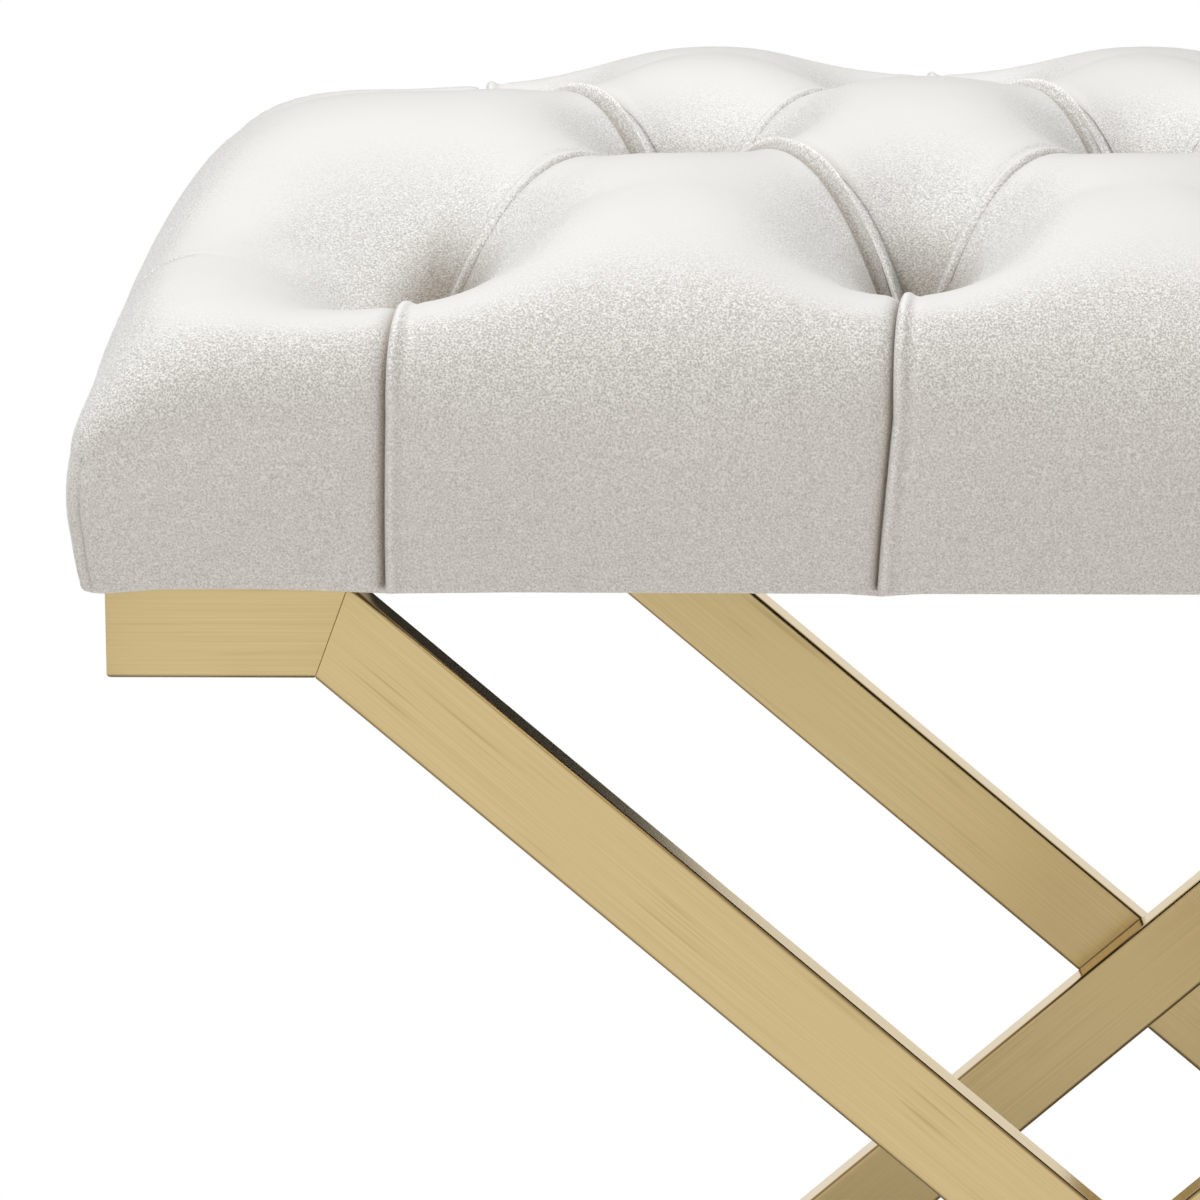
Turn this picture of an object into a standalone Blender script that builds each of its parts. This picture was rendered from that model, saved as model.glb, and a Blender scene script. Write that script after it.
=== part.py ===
"""Deep-tufted velvet bench on a crossed frame of flat brass tube.

Metres, +Z up, +X to the right of someone facing the bench. The origin is on the floor, under the middle of
the seat. The frame is two closed loops of mitred tube that cross at the front and at the rear: the outer loop
has its top pads at the left, and the inner loop, one tube narrower on each side, has them at the right.
"""

import math

import bmesh
import bpy
import numpy as np
from mathutils import Matrix, Vector

# Fits
SEAT_GAP = 0.0003  # left between pieces that touch
HOLE_CLEARANCE = 0.0003  # radial room round a screw, a barrel or a stem

# Frame tube
TUBE_WIDTH = 0.0254  # the broad face, seen from the front
TUBE_DEPTH = 0.0127
TUBE_WALL = 0.0012
TUBE_EDGE_RADIUS = 0.0012
TUBE_BORE_RADIUS = 0.0005
TUBE_EDGE_STEPS = 2
TUBE_SPARE_LENGTH = 0.100  # cut off again by the mitres

# Frame
FRAME_WIDTH = 0.550
FRAME_DEPTH = 0.371
FRAME_HEIGHT = 0.394
PAD_LENGTH = 0.060  # from the frame's end to the middle of the mitre

# Glides under the floor rails
GLIDE_HEIGHT = 0.003
GLIDE_RADIUS = 0.0055
GLIDE_FOOT_RADIUS = 0.0047
GLIDE_FOOT_HEIGHT = 0.001
GLIDE_STEM_RADIUS = 0.0025
GLIDE_STEM_LENGTH = 0.006
GLIDE_INSET = 0.030  # from the rail's end

# Seat deck
DECK_THICKNESS = 0.012

# Cushion
SEAT_OVERHANG = 0.004  # the hem stands this far outside the frame
HEM_DRAW = 0.0047  # the hem is drawn in by this much from the fullest line of the border
FRONT_BORDER_HEIGHT = 0.046  # from the hem to where the front starts to roll over
END_BORDER_HEIGHT = 0.036
BULGE_SHARE = 0.65  # the border is fullest at this share of its height
CROWN_HEIGHT = 0.1012  # from the hem to the top of the seat
CROWN_DROP_X = 0.0050  # towards the outermost columns of tufts
CROWN_DROP_Y = 0.0045  # towards the outer rows
FRONT_ROLL = (2.0, 0.32)  # squareness of the roll to the edge, and its slope
END_ROLL = (4.0, 0.90)
CORNER_ROUNDING = 0.15  # 0 leaves a square corner in plan, 1 makes it a full round
COVER_THICKNESS = 0.005  # velvet with its wadding
TURN_IN_WIDTH = 0.034  # the cover's edge, turned under the deck
TURN_IN_THICKNESS = 0.0022

# Tufts: staggered rows, three rows deep, with a tuft on the centre line of the middle row
TUFT_PITCH = 0.133  # along a row
TUFT_ROW_PITCH = 0.112
TUFTS_IN_OUTER_ROW = 4
TUFT_HEIGHT = 0.036  # from the hem up to a tuft
TUFT_DRIFT = 0.0055  # the ties draw the cloth this much towards the middle of the seat
DRIFT_COLUMNS = 0.8  # how soon the drift sets in on either side of the middle
PLEAT_RISE = 0.876  # how far the fold between two tufts climbs back towards the crown
PLEAT_POWER = 0.60  # under 1 gives fuller diamonds and sharper folds
MARGIN_POWER = 2.0  # beyond the tufts the valleys have round bottoms
FRONT_VALLEY_FADE = 1.15  # how fast the valleys run out towards the edge
END_VALLEY_FADE = 2.4
BORDER_PLEAT_DRAW = 0.002  # the border is drawn in here by the fold that runs to the hem

# Ties that hold the tufts down
TIE_RADIUS = 0.0012
TIE_KNOT_RADIUS = 0.0022
TIE_DISC_RADIUS = 0.008
TIE_DISC_THICKNESS = 0.0018
FOAM_HOLE_RADIUS = 0.0035
DECK_HOLE_RADIUS = 0.0025

# Dust cover under the deck
DUST_THICKNESS = 0.0006
DUST_OVERLAP = 0.008  # onto the turned-in edge of the cover
DUST_DROP = 0.0004  # below the turned-in edge

# Mounting tabs on the top rails, and their bolts
TAB_LENGTH = 0.034
TAB_WIDTH = 0.030
TAB_THICKNESS = 0.003
TAB_CORNER_RADIUS = 0.006
TAB_CORNER_STEPS = 3
TAB_FROM_END = 0.0855  # from the end of the rail to the middle of the tab
BOLT_FROM_RAIL = 0.024
BOLT_RADIUS = 0.003
BOLT_HEAD_RADIUS = 0.0055
BOLT_HEAD_HEIGHT = 0.0035
BOLT_HEAD_FLAT_RADIUS = 0.0035
BOLT_SOCKET_RADIUS = 0.0023
BOLT_SOCKET_DEPTH = 0.002
WASHER_RADIUS = 0.007
WASHER_THICKNESS = 0.0012
T_NUT_FLANGE_RADIUS = 0.009
T_NUT_FLANGE_THICKNESS = 0.0014
T_NUT_BARREL_RADIUS = 0.0043
T_NUT_BARREL_LENGTH = 0.0085

# Facets
ROUND_SIDES = 16
SMALL_SIDES = 10
SOCKET_SIDES = 6
COVER_CELL_STEPS = 5  # grid steps between a tuft and its neighbour's column or row
COVER_MARGIN_STEPS = 4
FOAM_STEPS = 2
MERGE_DISTANCE = 0.00001
PLANE_TOLERANCE = 0.000001
SAME = 1e-6  # two shares closer than this are equal

# Heights, from the floor up
FRAME_FLOOR_Z = GLIDE_HEIGHT + SEAT_GAP
RAIL_TOP_Z = FRAME_FLOOR_Z + FRAME_HEIGHT
HEM_Z = RAIL_TOP_Z + SEAT_GAP
DECK_FLOOR_Z = HEM_Z + TURN_IN_THICKNESS + SEAT_GAP
DECK_TOP_Z = DECK_FLOOR_Z + DECK_THICKNESS
FOAM_FLOOR_Z = DECK_TOP_Z + SEAT_GAP
CROWN_Z = HEM_Z + CROWN_HEIGHT
TUFT_Z = HEM_Z + TUFT_HEIGHT
DUST_TOP_Z = HEM_Z - DUST_DROP
TAB_TOP_Z = DUST_TOP_Z - DUST_THICKNESS - SEAT_GAP
TAB_FLOOR_Z = TAB_TOP_Z - TAB_THICKNESS

# Plan
SEAT_HALF_WIDTH = FRAME_WIDTH / 2 + SEAT_OVERHANG + HEM_DRAW
SEAT_HALF_DEPTH = FRAME_DEPTH / 2 + SEAT_OVERHANG + HEM_DRAW
HEM_HALF_WIDTH = SEAT_HALF_WIDTH - HEM_DRAW
HEM_HALF_DEPTH = SEAT_HALF_DEPTH - HEM_DRAW
TUFT_HALF_PITCH = TUFT_PITCH / 2
TUFT_COLUMN = TUFTS_IN_OUTER_ROW - 1  # the outermost tufts, in half pitches from the middle
TUFT_SPAN = TUFT_HALF_PITCH * TUFT_COLUMN
TUFT_PARITY = TUFTS_IN_OUTER_ROW % 2  # keeps a tuft at the crossings of the folds
RAIL_INNER_X = FRAME_WIDTH / 2 - TUBE_DEPTH
BOLT_X = RAIL_INNER_X - BOLT_FROM_RAIL
BOLT_Y = FRAME_DEPTH / 2 - TAB_FROM_END
LOOP_OFFSET = TUBE_DEPTH + SEAT_GAP  # the inner loop lies this far inside the outer one

# Linear colour, roughness, metallic
FINISHES = {
    "brushed_brass": ((0.60, 0.46, 0.22), 0.32, 1.0),
    "velvet": ((0.80, 0.78, 0.74), 0.95, 0.0),
    "foam": ((0.85, 0.76, 0.48), 0.90, 0.0),
    "plywood": ((0.52, 0.35, 0.19), 0.70, 0.0),
    "twine": ((0.62, 0.52, 0.36), 0.90, 0.0),
    "dust_cloth": ((0.02, 0.02, 0.02), 0.95, 0.0),
    "steel": ((0.56, 0.56, 0.57), 0.38, 1.0),
    "nylon": ((0.05, 0.05, 0.05), 0.55, 0.0),
}


def clear_scene():
    """Removes every object, so that the script can run again in an open file."""
    for obj in list(bpy.data.objects):
        bpy.data.objects.remove(obj, do_unlink=True)


def collection(name, parent):
    made = bpy.data.collections.new(name)
    parent.children.link(made)
    return made


clear_scene()
BENCH = collection("tufted_bench", bpy.context.scene.collection)
CUTTERS = collection("cutters", bpy.context.scene.collection)


def finish(name):
    """The Principled material of this name, made at its first use."""
    if name in bpy.data.materials:
        return bpy.data.materials[name]
    colour, roughness, metallic = FINISHES[name]
    material = bpy.data.materials.new(name)
    material.use_nodes = True
    shader = material.node_tree.nodes["Principled BSDF"]
    shader.inputs["Base Color"].default_value = (*colour, 1.0)
    shader.inputs["Roughness"].default_value = roughness
    shader.inputs["Metallic"].default_value = metallic
    return material


def part(name, bm, finish_name):
    """Puts a bmesh into the bench as a named piece with its finish."""
    mesh = bpy.data.meshes.new(name)
    bm.to_mesh(mesh)
    bm.free()
    mesh.materials.append(finish(finish_name))
    obj = bpy.data.objects.new(name, mesh)
    BENCH.objects.link(obj)
    return obj


def as_cutter(obj, group=CUTTERS):
    """Moves a shape out of the bench and into a group of cutters."""
    BENCH.objects.unlink(obj)
    group.objects.link(obj)
    obj.hide_render = True
    obj.display_type = "WIRE"
    return obj


def cut(obj, cutter):
    """Takes a cutter, or every cutter in a collection, out of a piece."""
    modifier = obj.modifiers.new("cut", "BOOLEAN")
    modifier.operation = "DIFFERENCE"
    modifier.solver = "EXACT"
    if isinstance(cutter, bpy.types.Collection):
        modifier.operand_type = "COLLECTION"
        modifier.collection = cutter
    else:
        modifier.object = cutter


def box(name, low, high, finish_name, corner_radius=0.0):
    """A box between two corners, with its upright edges rounded."""
    size = Vector(high) - Vector(low)
    middle = (Vector(high) + Vector(low)) / 2
    bm = bmesh.new()
    place = Matrix.Translation(middle) @ Matrix.Diagonal((*size, 1.0))
    bmesh.ops.create_cube(bm, size=1.0, matrix=place)
    if corner_radius:
        upright = [e for e in bm.edges if abs((e.verts[0].co - e.verts[1].co).z) > size.z / 2]
        bmesh.ops.bevel(bm, geom=upright, offset=corner_radius, segments=TAB_CORNER_STEPS, affect="EDGES")
    return part(name, bm, finish_name)


def turned(name, profile, place, finish_name, sides=ROUND_SIDES, closed=False):
    """A turned piece: (radius, height) points down its outer side, swept round an upright axis at place."""
    bm = bmesh.new()
    points = [bm.verts.new((radius, 0.0, height)) for radius, height in profile]
    for first, second in zip(points, points[1:]):
        bm.edges.new((first, second))
    if closed:
        bm.edges.new((points[-1], points[0]))
    obj = part(name, bm, finish_name)
    obj.location = place
    screw = obj.modifiers.new("turn", "SCREW")
    screw.steps = sides
    screw.render_steps = sides
    screw.use_merge_vertices = True
    screw.merge_threshold = MERGE_DISTANCE
    screw.use_smooth_shade = False
    return obj


def drill(name, radius, low, high, at, group, sides=ROUND_SIDES):
    """A round cutter from low to high above a point in plan."""
    profile = [(0.0, high), (radius, high), (radius, low), (0.0, low)]
    return as_cutter(turned(name, profile, (*at, 0.0), "steel", sides), group)


# Frame of mitred tube


def tube_skin(bm, length, width, depth, radius):
    """A four-sided open skin along X, with its long edges rounded. Returns its faces."""
    made = bmesh.ops.create_cube(bm, size=1.0, matrix=Matrix.Diagonal((length, width, depth, 1.0)))
    edges = {e for v in made["verts"] for e in v.link_edges}
    along = [e for e in edges if abs((e.verts[0].co - e.verts[1].co).x) > length / 2]
    rounded = bmesh.ops.bevel(bm, geom=along, offset=radius, segments=TUBE_EDGE_STEPS, affect="EDGES")
    bm.normal_update()
    skin = {f for v in rounded["verts"] for f in v.link_faces}
    ends = [f for f in skin if abs(f.normal.x) > 0.9]
    bmesh.ops.delete(bm, geom=ends, context="FACES_ONLY")
    return [f for f in skin if f.is_valid]


def tube(name, start, end, before, after, across):
    """A hollow tube from start to end, mitred against its neighbours.

    before and after are the directions of the tubes that it meets, and across is the direction of its
    depth. Each end is cut on the plane that halves the angle with the neighbour.
    """
    along = (end - start).normalized()
    length = (end - start).length + TUBE_SPARE_LENGTH
    bm = bmesh.new()
    tube_skin(bm, length, TUBE_WIDTH, TUBE_DEPTH, TUBE_EDGE_RADIUS)
    bore = tube_skin(
        bm, length, TUBE_WIDTH - 2 * TUBE_WALL, TUBE_DEPTH - 2 * TUBE_WALL, TUBE_BORE_RADIUS
    )
    bmesh.ops.reverse_faces(bm, faces=bore)
    turn = Matrix((along, across.cross(along), across)).transposed().to_4x4()
    bm.transform(Matrix.Translation((start + end) / 2) @ turn)
    for corner, neighbour, outward in ((start, before, -1), (end, after, 1)):
        normal = (along + neighbour).normalized() * outward
        plane = corner - normal * SEAT_GAP / 2
        everything = bm.verts[:] + bm.edges[:] + bm.faces[:]
        bmesh.ops.bisect_plane(
            bm, geom=everything, dist=PLANE_TOLERANCE / 10, plane_co=plane, plane_no=normal, clear_outer=True
        )
        rim = [
            e for e in bm.edges
            if e.is_boundary and all(abs((v.co - plane).dot(normal)) < PLANE_TOLERANCE for v in e.verts)
        ]
        bmesh.ops.bridge_loops(bm, edges=rim)
    bmesh.ops.recalc_face_normals(bm, faces=bm.faces[:])
    return part(name, bm, "brushed_brass")


LOOP_MEMBERS = (
    "front_top_pad",
    "front_diagonal",
    "front_foot",
    "floor_rail",
    "rear_foot",
    "rear_diagonal",
    "rear_top_pad",
    "top_rail",
)


def loop_corners(side, inset):
    """The eight corners of a loop on its tubes' centre lines. side is -1 for top pads at the left."""
    end_x = FRAME_WIDTH / 2 - TUBE_DEPTH / 2
    bend_x = FRAME_WIDTH / 2 - PAD_LENGTH
    face_y = FRAME_DEPTH / 2 - TUBE_DEPTH / 2 - inset
    high = RAIL_TOP_Z - TUBE_WIDTH / 2
    low = FRAME_FLOOR_Z + TUBE_WIDTH / 2
    face = ((side * end_x, high), (side * bend_x, high), (-side * bend_x, low), (-side * end_x, low))
    front = [Vector((x, -face_y, z)) for x, z in face]
    rear = [Vector((x, face_y, z)) for x, z in reversed(face)]
    return front + rear


def frame_loop(loop_name, side, inset):
    """Eight tubes round a closed loop. Rails are deep along X, and the other tubes along Y."""
    corners = loop_corners(side, inset)
    ways = [(b - a).normalized() for a, b in zip(corners, corners[1:] + corners[:1])]
    tubes = {}
    for i, member in enumerate(LOOP_MEMBERS):
        across = Vector((1, 0, 0)) if member.endswith("rail") else Vector((0, 1, 0))
        start = corners[i]
        end = corners[(i + 1) % len(corners)]
        before = ways[i - 1]
        after = ways[(i + 1) % len(ways)]
        tubes[member] = tube(f"{loop_name}_{member}", start, end, before, after, across)
    return tubes


def glides(loop_name, side, inset, rail):
    """Two push-in glides under a floor rail, and the holes that take their stems."""
    x = side * (FRAME_WIDTH / 2 - TUBE_DEPTH / 2)
    y = FRAME_DEPTH / 2 - inset - GLIDE_INSET
    holes = collection(f"{loop_name}_glide_holes", CUTTERS)
    stem_top = GLIDE_HEIGHT + GLIDE_STEM_LENGTH
    profile = [
        (0.0, stem_top),
        (GLIDE_STEM_RADIUS, stem_top),
        (GLIDE_STEM_RADIUS, GLIDE_HEIGHT),
        (GLIDE_RADIUS, GLIDE_HEIGHT),
        (GLIDE_RADIUS, GLIDE_FOOT_HEIGHT),
        (GLIDE_FOOT_RADIUS, 0.0),
        (0.0, 0.0),
    ]
    for end, place in (("front", -y), ("rear", y)):
        turned(f"{loop_name}_{end}_glide", profile, (x, place, 0.0), "nylon", ROUND_SIDES)
        drill(
            f"{loop_name}_{end}_glide_hole",
            GLIDE_STEM_RADIUS + HOLE_CLEARANCE,
            0.0,
            FRAME_FLOOR_Z + TUBE_WIDTH / 2,
            (x, place),
            holes,
            SMALL_SIDES,
        )
    cut(rail, holes)


# Tufted seat


def tuft_drift(core_x):
    """How far the ties draw a point of the top towards the middle of the seat."""
    return TUFT_DRIFT * math.tanh(core_x / TUFT_HALF_PITCH / DRIFT_COLUMNS)


def tuft_places():
    """(x, y) of each tuft: the outer rows first column at the left, the middle row set half a pitch in."""
    places = []
    for row in (-1, 0, 1):
        count = TUFTS_IN_OUTER_ROW if row else TUFTS_IN_OUTER_ROW - 1
        cores = [TUFT_HALF_PITCH * (2 * i - count + 1) for i in range(count)]
        places += [(x - tuft_drift(x), TUFT_ROW_PITCH * row) for x in cores]
    return places


def seat_lines(span, cells, cell_steps, margin_steps):
    """Grid lines across the seat as (core, edge) pairs.

    core is the place between the outermost tufts, and edge grows from 0 at those tufts to 1 at the seat's
    edge, in even steps of the angle of the roll. It is negative on the low side.
    """
    core = np.linspace(-span, span, cells * cell_steps + 1)
    roll = np.cos(np.linspace(0.0, math.pi / 2, margin_steps, endpoint=False))
    cores = np.concatenate([np.full(margin_steps, -span), core, np.full(margin_steps, span)])
    edges = np.concatenate([-roll, np.zeros(len(core)), roll[::-1]])
    return list(zip(cores, edges))


def tuft_fullness(core_x, core_y, power):
    """How full the cushion is: 0 at a tuft, PLEAT_RISE or so along a fold, 1 in the middle of a diamond.

    In the slanted lattice (s, t) the tufts lie at whole numbers and the folds on the lines between them.
    """
    column = core_x / TUFT_HALF_PITCH + TUFT_PARITY
    row = core_y / TUFT_ROW_PITCH
    s = abs(math.sin(math.pi * (column + row) / 2)) ** power
    t = abs(math.sin(math.pi * (column - row) / 2)) ** power
    most = 1 - (1 - PLEAT_RISE) ** 2
    return (1 - (1 - PLEAT_RISE * s) * (1 - PLEAT_RISE * t)) / most


def roll_off(edge, squareness, slope):
    """1 at the tufts and 0 at the seat's edge."""
    return (1 - abs(edge) ** squareness) ** slope


def border_height(edge_x):
    """Height of the upright border: highest along the front and the rear, lowest at the ends."""
    return END_BORDER_HEIGHT + (FRONT_BORDER_HEIGHT - END_BORDER_HEIGHT) * (1 - edge_x**2)


def seat_plan(x_line, y_line, inset, draw):
    """(x, y) of a grid point. draw pulls the border in, and the corners are eased by CORNER_ROUNDING."""
    (core_x, edge_x), (core_y, edge_y) = x_line, y_line
    reach_x = SEAT_HALF_WIDTH - TUFT_SPAN - inset - draw
    reach_y = SEAT_HALF_DEPTH - TUFT_ROW_PITCH - inset - draw
    drift = tuft_drift(core_x) * (1 - abs(edge_x)) * (1 - abs(edge_y))
    x = core_x - drift + reach_x * edge_x * math.sqrt(1 - CORNER_ROUNDING * edge_y**2 / 2)
    y = core_y + reach_y * edge_y * math.sqrt(1 - CORNER_ROUNDING * edge_x**2 / 2)
    return x, y


def seat_height(x_line, y_line, inset):
    """Height of the top above the hem: a low dome that rolls off to the border, less the tufts' pull."""
    (core_x, edge_x), (core_y, edge_y) = x_line, y_line
    drop = CROWN_DROP_X * (core_x / TUFT_SPAN) ** 2 + CROWN_DROP_Y * (core_y / TUFT_ROW_PITCH) ** 2
    dome = CROWN_HEIGHT - drop
    border = border_height(edge_x)
    roll = roll_off(edge_x, *END_ROLL) * roll_off(edge_y, *FRONT_ROLL)
    outside = max(abs(edge_x), abs(edge_y))
    power = PLEAT_POWER + (MARGIN_POWER - PLEAT_POWER) * min(1.0, 2 * outside)
    fade = (1 - abs(edge_x)) ** END_VALLEY_FADE * (1 - abs(edge_y)) ** FRONT_VALLEY_FADE
    pull = (dome - TUFT_HEIGHT) * (1 - tuft_fullness(core_x, core_y, power)) * fade
    return border + (dome - border) * roll - pull - inset


def border_draw(x_line, y_line, height):
    """How far the border is drawn in at this height: away from its fullest line, and at folds below tufts."""
    (core_x, edge_x), (core_y, edge_y) = x_line, y_line
    share = height / border_height(edge_x)
    bulge = HEM_DRAW * ((share - BULGE_SHARE) / BULGE_SHARE) ** 2
    on_fold = tuft_fullness(core_x, core_y, PLEAT_POWER) < SAME and abs(edge_x * edge_y) < SAME
    return bulge + (BORDER_PLEAT_DRAW * share if on_fold else 0.0)


def cushion_form(name, inset, levels, cell_steps, margin_steps, finish_name):
    """The closed form of the tufted seat, shrunk by inset and standing flat on the last of the levels.

    A grid makes the top, with its quads split along the folds, and its rim is extruded down the border,
    from level to level.
    """
    column_cells = 2 * (TUFTS_IN_OUTER_ROW - 1)
    x_lines = seat_lines(TUFT_SPAN, column_cells, cell_steps, margin_steps)
    y_lines = seat_lines(TUFT_ROW_PITCH, 2, cell_steps, margin_steps)
    bm = bmesh.new()
    across = bm.verts.layers.int.new("x_line")
    along = bm.verts.layers.int.new("y_line")
    bmesh.ops.create_grid(bm, x_segments=len(x_lines) - 1, y_segments=len(y_lines) - 1, size=1.0)
    for v in bm.verts:
        v[across] = round((v.co.x + 1) / 2 * (len(x_lines) - 1))
        v[along] = round((v.co.y + 1) / 2 * (len(y_lines) - 1))
    for v in bm.verts:
        lines = x_lines[v[across]], y_lines[v[along]]
        on_rim = max(abs(edge) for _, edge in lines) == 1
        draw = border_draw(*lines, border_height(lines[0][1])) if on_rim else 0.0
        v.co = (*seat_plan(*lines, inset, draw), HEM_Z + seat_height(*lines, inset))
    split_along_folds(bm, across, along, x_lines, y_lines)
    rim = [e for e in bm.edges if e.is_boundary]
    for level in levels:
        made = bmesh.ops.extrude_edge_only(bm, edges=rim)["geom"]
        rim = [e for e in made if isinstance(e, bmesh.types.BMEdge) and e.is_boundary]
        for v in {v for e in rim for v in e.verts}:
            lines = x_lines[v[across]], y_lines[v[along]]
            draw = border_draw(*lines, level - HEM_Z)
            v.co = (*seat_plan(*lines, inset, draw), level)
    bmesh.ops.triangulate(bm, faces=[f for f in bm.faces if len(f.verts) == 4], quad_method="FIXED")
    bmesh.ops.contextual_create(bm, geom=rim)
    bmesh.ops.recalc_face_normals(bm, faces=bm.faces[:])
    for face in bm.faces:
        face.smooth = True
    return part(name, bm, finish_name)


def split_along_folds(bm, across, along, x_lines, y_lines):
    """Splits each quad on the diagonal that runs the way of the nearest fold, also beyond the tufts."""
    columns = [core / TUFT_HALF_PITCH + edge for core, edge in x_lines]
    rows = [core / TUFT_ROW_PITCH + edge for core, edge in y_lines]
    for face in list(bm.faces):
        corner = min(face.verts, key=lambda v: (v[across], v[along]))
        i, j = corner[across], corner[along]
        column = math.floor((columns[i] + columns[i + 1]) / 2)
        row = math.floor((rows[j] + rows[j + 1]) / 2)
        rising = (column + row + TUFT_PARITY) % 2 == 0
        start = (i, j) if rising else (i + 1, j)
        stop = (i + 1, j + 1) if rising else (i, j + 1)
        by_place = {(v[across], v[along]): v for v in face.verts}
        bmesh.utils.face_split(face, by_place[start], by_place[stop])


def velvet_cover():
    """The velvet with its wadding: hollow above the deck, with its edge turned in under it."""
    skin_levels = (HEM_Z + END_BORDER_HEIGHT * BULGE_SHARE, HEM_Z)
    cover = cushion_form(
        "velvet_cover", 0.0, skin_levels, COVER_CELL_STEPS, COVER_MARGIN_STEPS, "velvet"
    )
    hollow_levels = (FOAM_FLOOR_Z, HEM_Z + TURN_IN_THICKNESS)
    hollow = cushion_form(
        "cover_hollow", COVER_THICKNESS, hollow_levels, FOAM_STEPS, FOAM_STEPS, "velvet"
    )
    cut(cover, as_cutter(hollow))
    open_x = HEM_HALF_WIDTH - TURN_IN_WIDTH
    open_y = HEM_HALF_DEPTH - TURN_IN_WIDTH
    mouth = box(
        "cover_mouth",
        (-open_x, -open_y, HEM_Z - TURN_IN_THICKNESS),
        (open_x, open_y, HEM_Z + 2 * TURN_IN_THICKNESS),
        "velvet",
    )
    cut(cover, as_cutter(mouth))


def foam_block():
    """The foam under the cover, with a hole below each tuft for its tie."""
    inset = COVER_THICKNESS + SEAT_GAP
    foam = cushion_form("foam_block", inset, (FOAM_FLOOR_Z,), FOAM_STEPS, FOAM_STEPS, "foam")
    holes = collection("foam_holes", CUTTERS)
    for i, place in enumerate(tuft_places(), 1):
        low = FOAM_FLOOR_Z - DECK_THICKNESS / 2
        drill(f"foam_hole_{i}", FOAM_HOLE_RADIUS, low, CROWN_Z, place, holes, SMALL_SIDES)
    cut(foam, holes)


def bolt_places():
    """(name, x, y) of each bolt that holds the seat to the frame."""
    return [
        (f"{side}_{end}", x, y)
        for side, x in (("left", -BOLT_X), ("right", BOLT_X))
        for end, y in (("front", -BOLT_Y), ("rear", BOLT_Y))
    ]


def deck_outline():
    """The deck's edge in plan, which follows the hem inside the cover."""
    x_lines = seat_lines(TUFT_SPAN, 1, 1, FOAM_STEPS)
    y_lines = seat_lines(TUFT_ROW_PITCH, 1, 1, FOAM_STEPS)
    rim = [(x, y_lines[0]) for x in x_lines[:-1]]
    rim += [(x_lines[-1], y) for y in y_lines[:-1]]
    rim += [(x, y_lines[-1]) for x in x_lines[:0:-1]]
    rim += [(x_lines[0], y) for y in y_lines[:0:-1]]
    return [seat_plan(x, y, COVER_THICKNESS + SEAT_GAP, HEM_DRAW) for x, y in rim]


def seat_deck():
    """Plywood deck: a hole for each tie, and a stepped hole for each T-nut."""
    bm = bmesh.new()
    outline = bm.faces.new([bm.verts.new((*point, DECK_FLOOR_Z)) for point in deck_outline()])
    raised = bmesh.ops.extrude_face_region(bm, geom=[outline])["geom"]
    top = [v for v in raised if isinstance(v, bmesh.types.BMVert)]
    bmesh.ops.translate(bm, verts=top, vec=(0.0, 0.0, DECK_THICKNESS))
    bmesh.ops.recalc_face_normals(bm, faces=bm.faces[:])
    deck = part("seat_deck", bm, "plywood")
    holes = collection("deck_holes", CUTTERS)
    low = DECK_FLOOR_Z - DECK_THICKNESS / 2
    high = DECK_TOP_Z + DECK_THICKNESS / 2
    for i, place in enumerate(tuft_places(), 1):
        drill(f"deck_tie_hole_{i}", DECK_HOLE_RADIUS, low, high, place, holes, SMALL_SIDES)
    ledge = DECK_TOP_Z - T_NUT_FLANGE_THICKNESS - SEAT_GAP
    flange = T_NUT_FLANGE_RADIUS + HOLE_CLEARANCE
    barrel = T_NUT_BARREL_RADIUS + HOLE_CLEARANCE
    profile = [(0.0, high), (flange, high), (flange, ledge), (barrel, ledge), (barrel, low), (0.0, low)]
    for name, x, y in bolt_places():
        as_cutter(turned(f"{name}_t_nut_hole", profile, (x, y, 0.0), "steel"), holes)
    cut(deck, holes)


def dust_cover():
    """Black cloth that closes the seat from below, with a hole for each bolt."""
    half_x = HEM_HALF_WIDTH - TURN_IN_WIDTH + DUST_OVERLAP
    half_y = min(
        HEM_HALF_DEPTH - TURN_IN_WIDTH + DUST_OVERLAP,
        FRAME_DEPTH / 2 - LOOP_OFFSET - TUBE_DEPTH - SEAT_GAP,
    )
    low = DUST_TOP_Z - DUST_THICKNESS
    cloth = box("dust_cover", (-half_x, -half_y, low), (half_x, half_y, DUST_TOP_Z), "dust_cloth")
    holes = collection("dust_cover_holes", CUTTERS)
    radius = BOLT_RADIUS + HOLE_CLEARANCE
    for name, x, y in bolt_places():
        drill(f"{name}_cloth_hole", radius, TAB_FLOOR_Z, DECK_FLOOR_Z, (x, y), holes)
    cut(cloth, holes)


def tuft_ties():
    """A knotted twine below each tuft, with a disc that bears on the underside of the deck."""
    knot_top = TUFT_Z - COVER_THICKNESS - SEAT_GAP
    knot_floor = knot_top - 2 * TIE_KNOT_RADIUS
    disc_top = DECK_FLOOR_Z - SEAT_GAP
    disc_floor = disc_top - TIE_DISC_THICKNESS
    profile = [
        (0.0, knot_top),
        (TIE_RADIUS, knot_top),
        (TIE_KNOT_RADIUS, knot_top - TIE_KNOT_RADIUS),
        (TIE_RADIUS, knot_floor),
        (TIE_RADIUS, disc_top),
        (TIE_DISC_RADIUS, disc_top),
        (TIE_DISC_RADIUS, disc_floor),
        (0.0, disc_floor),
    ]
    for i, (x, y) in enumerate(tuft_places(), 1):
        turned(f"tuft_tie_{i}", profile, (x, y, 0.0), "twine", SMALL_SIDES)


# Seat fixings


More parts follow.
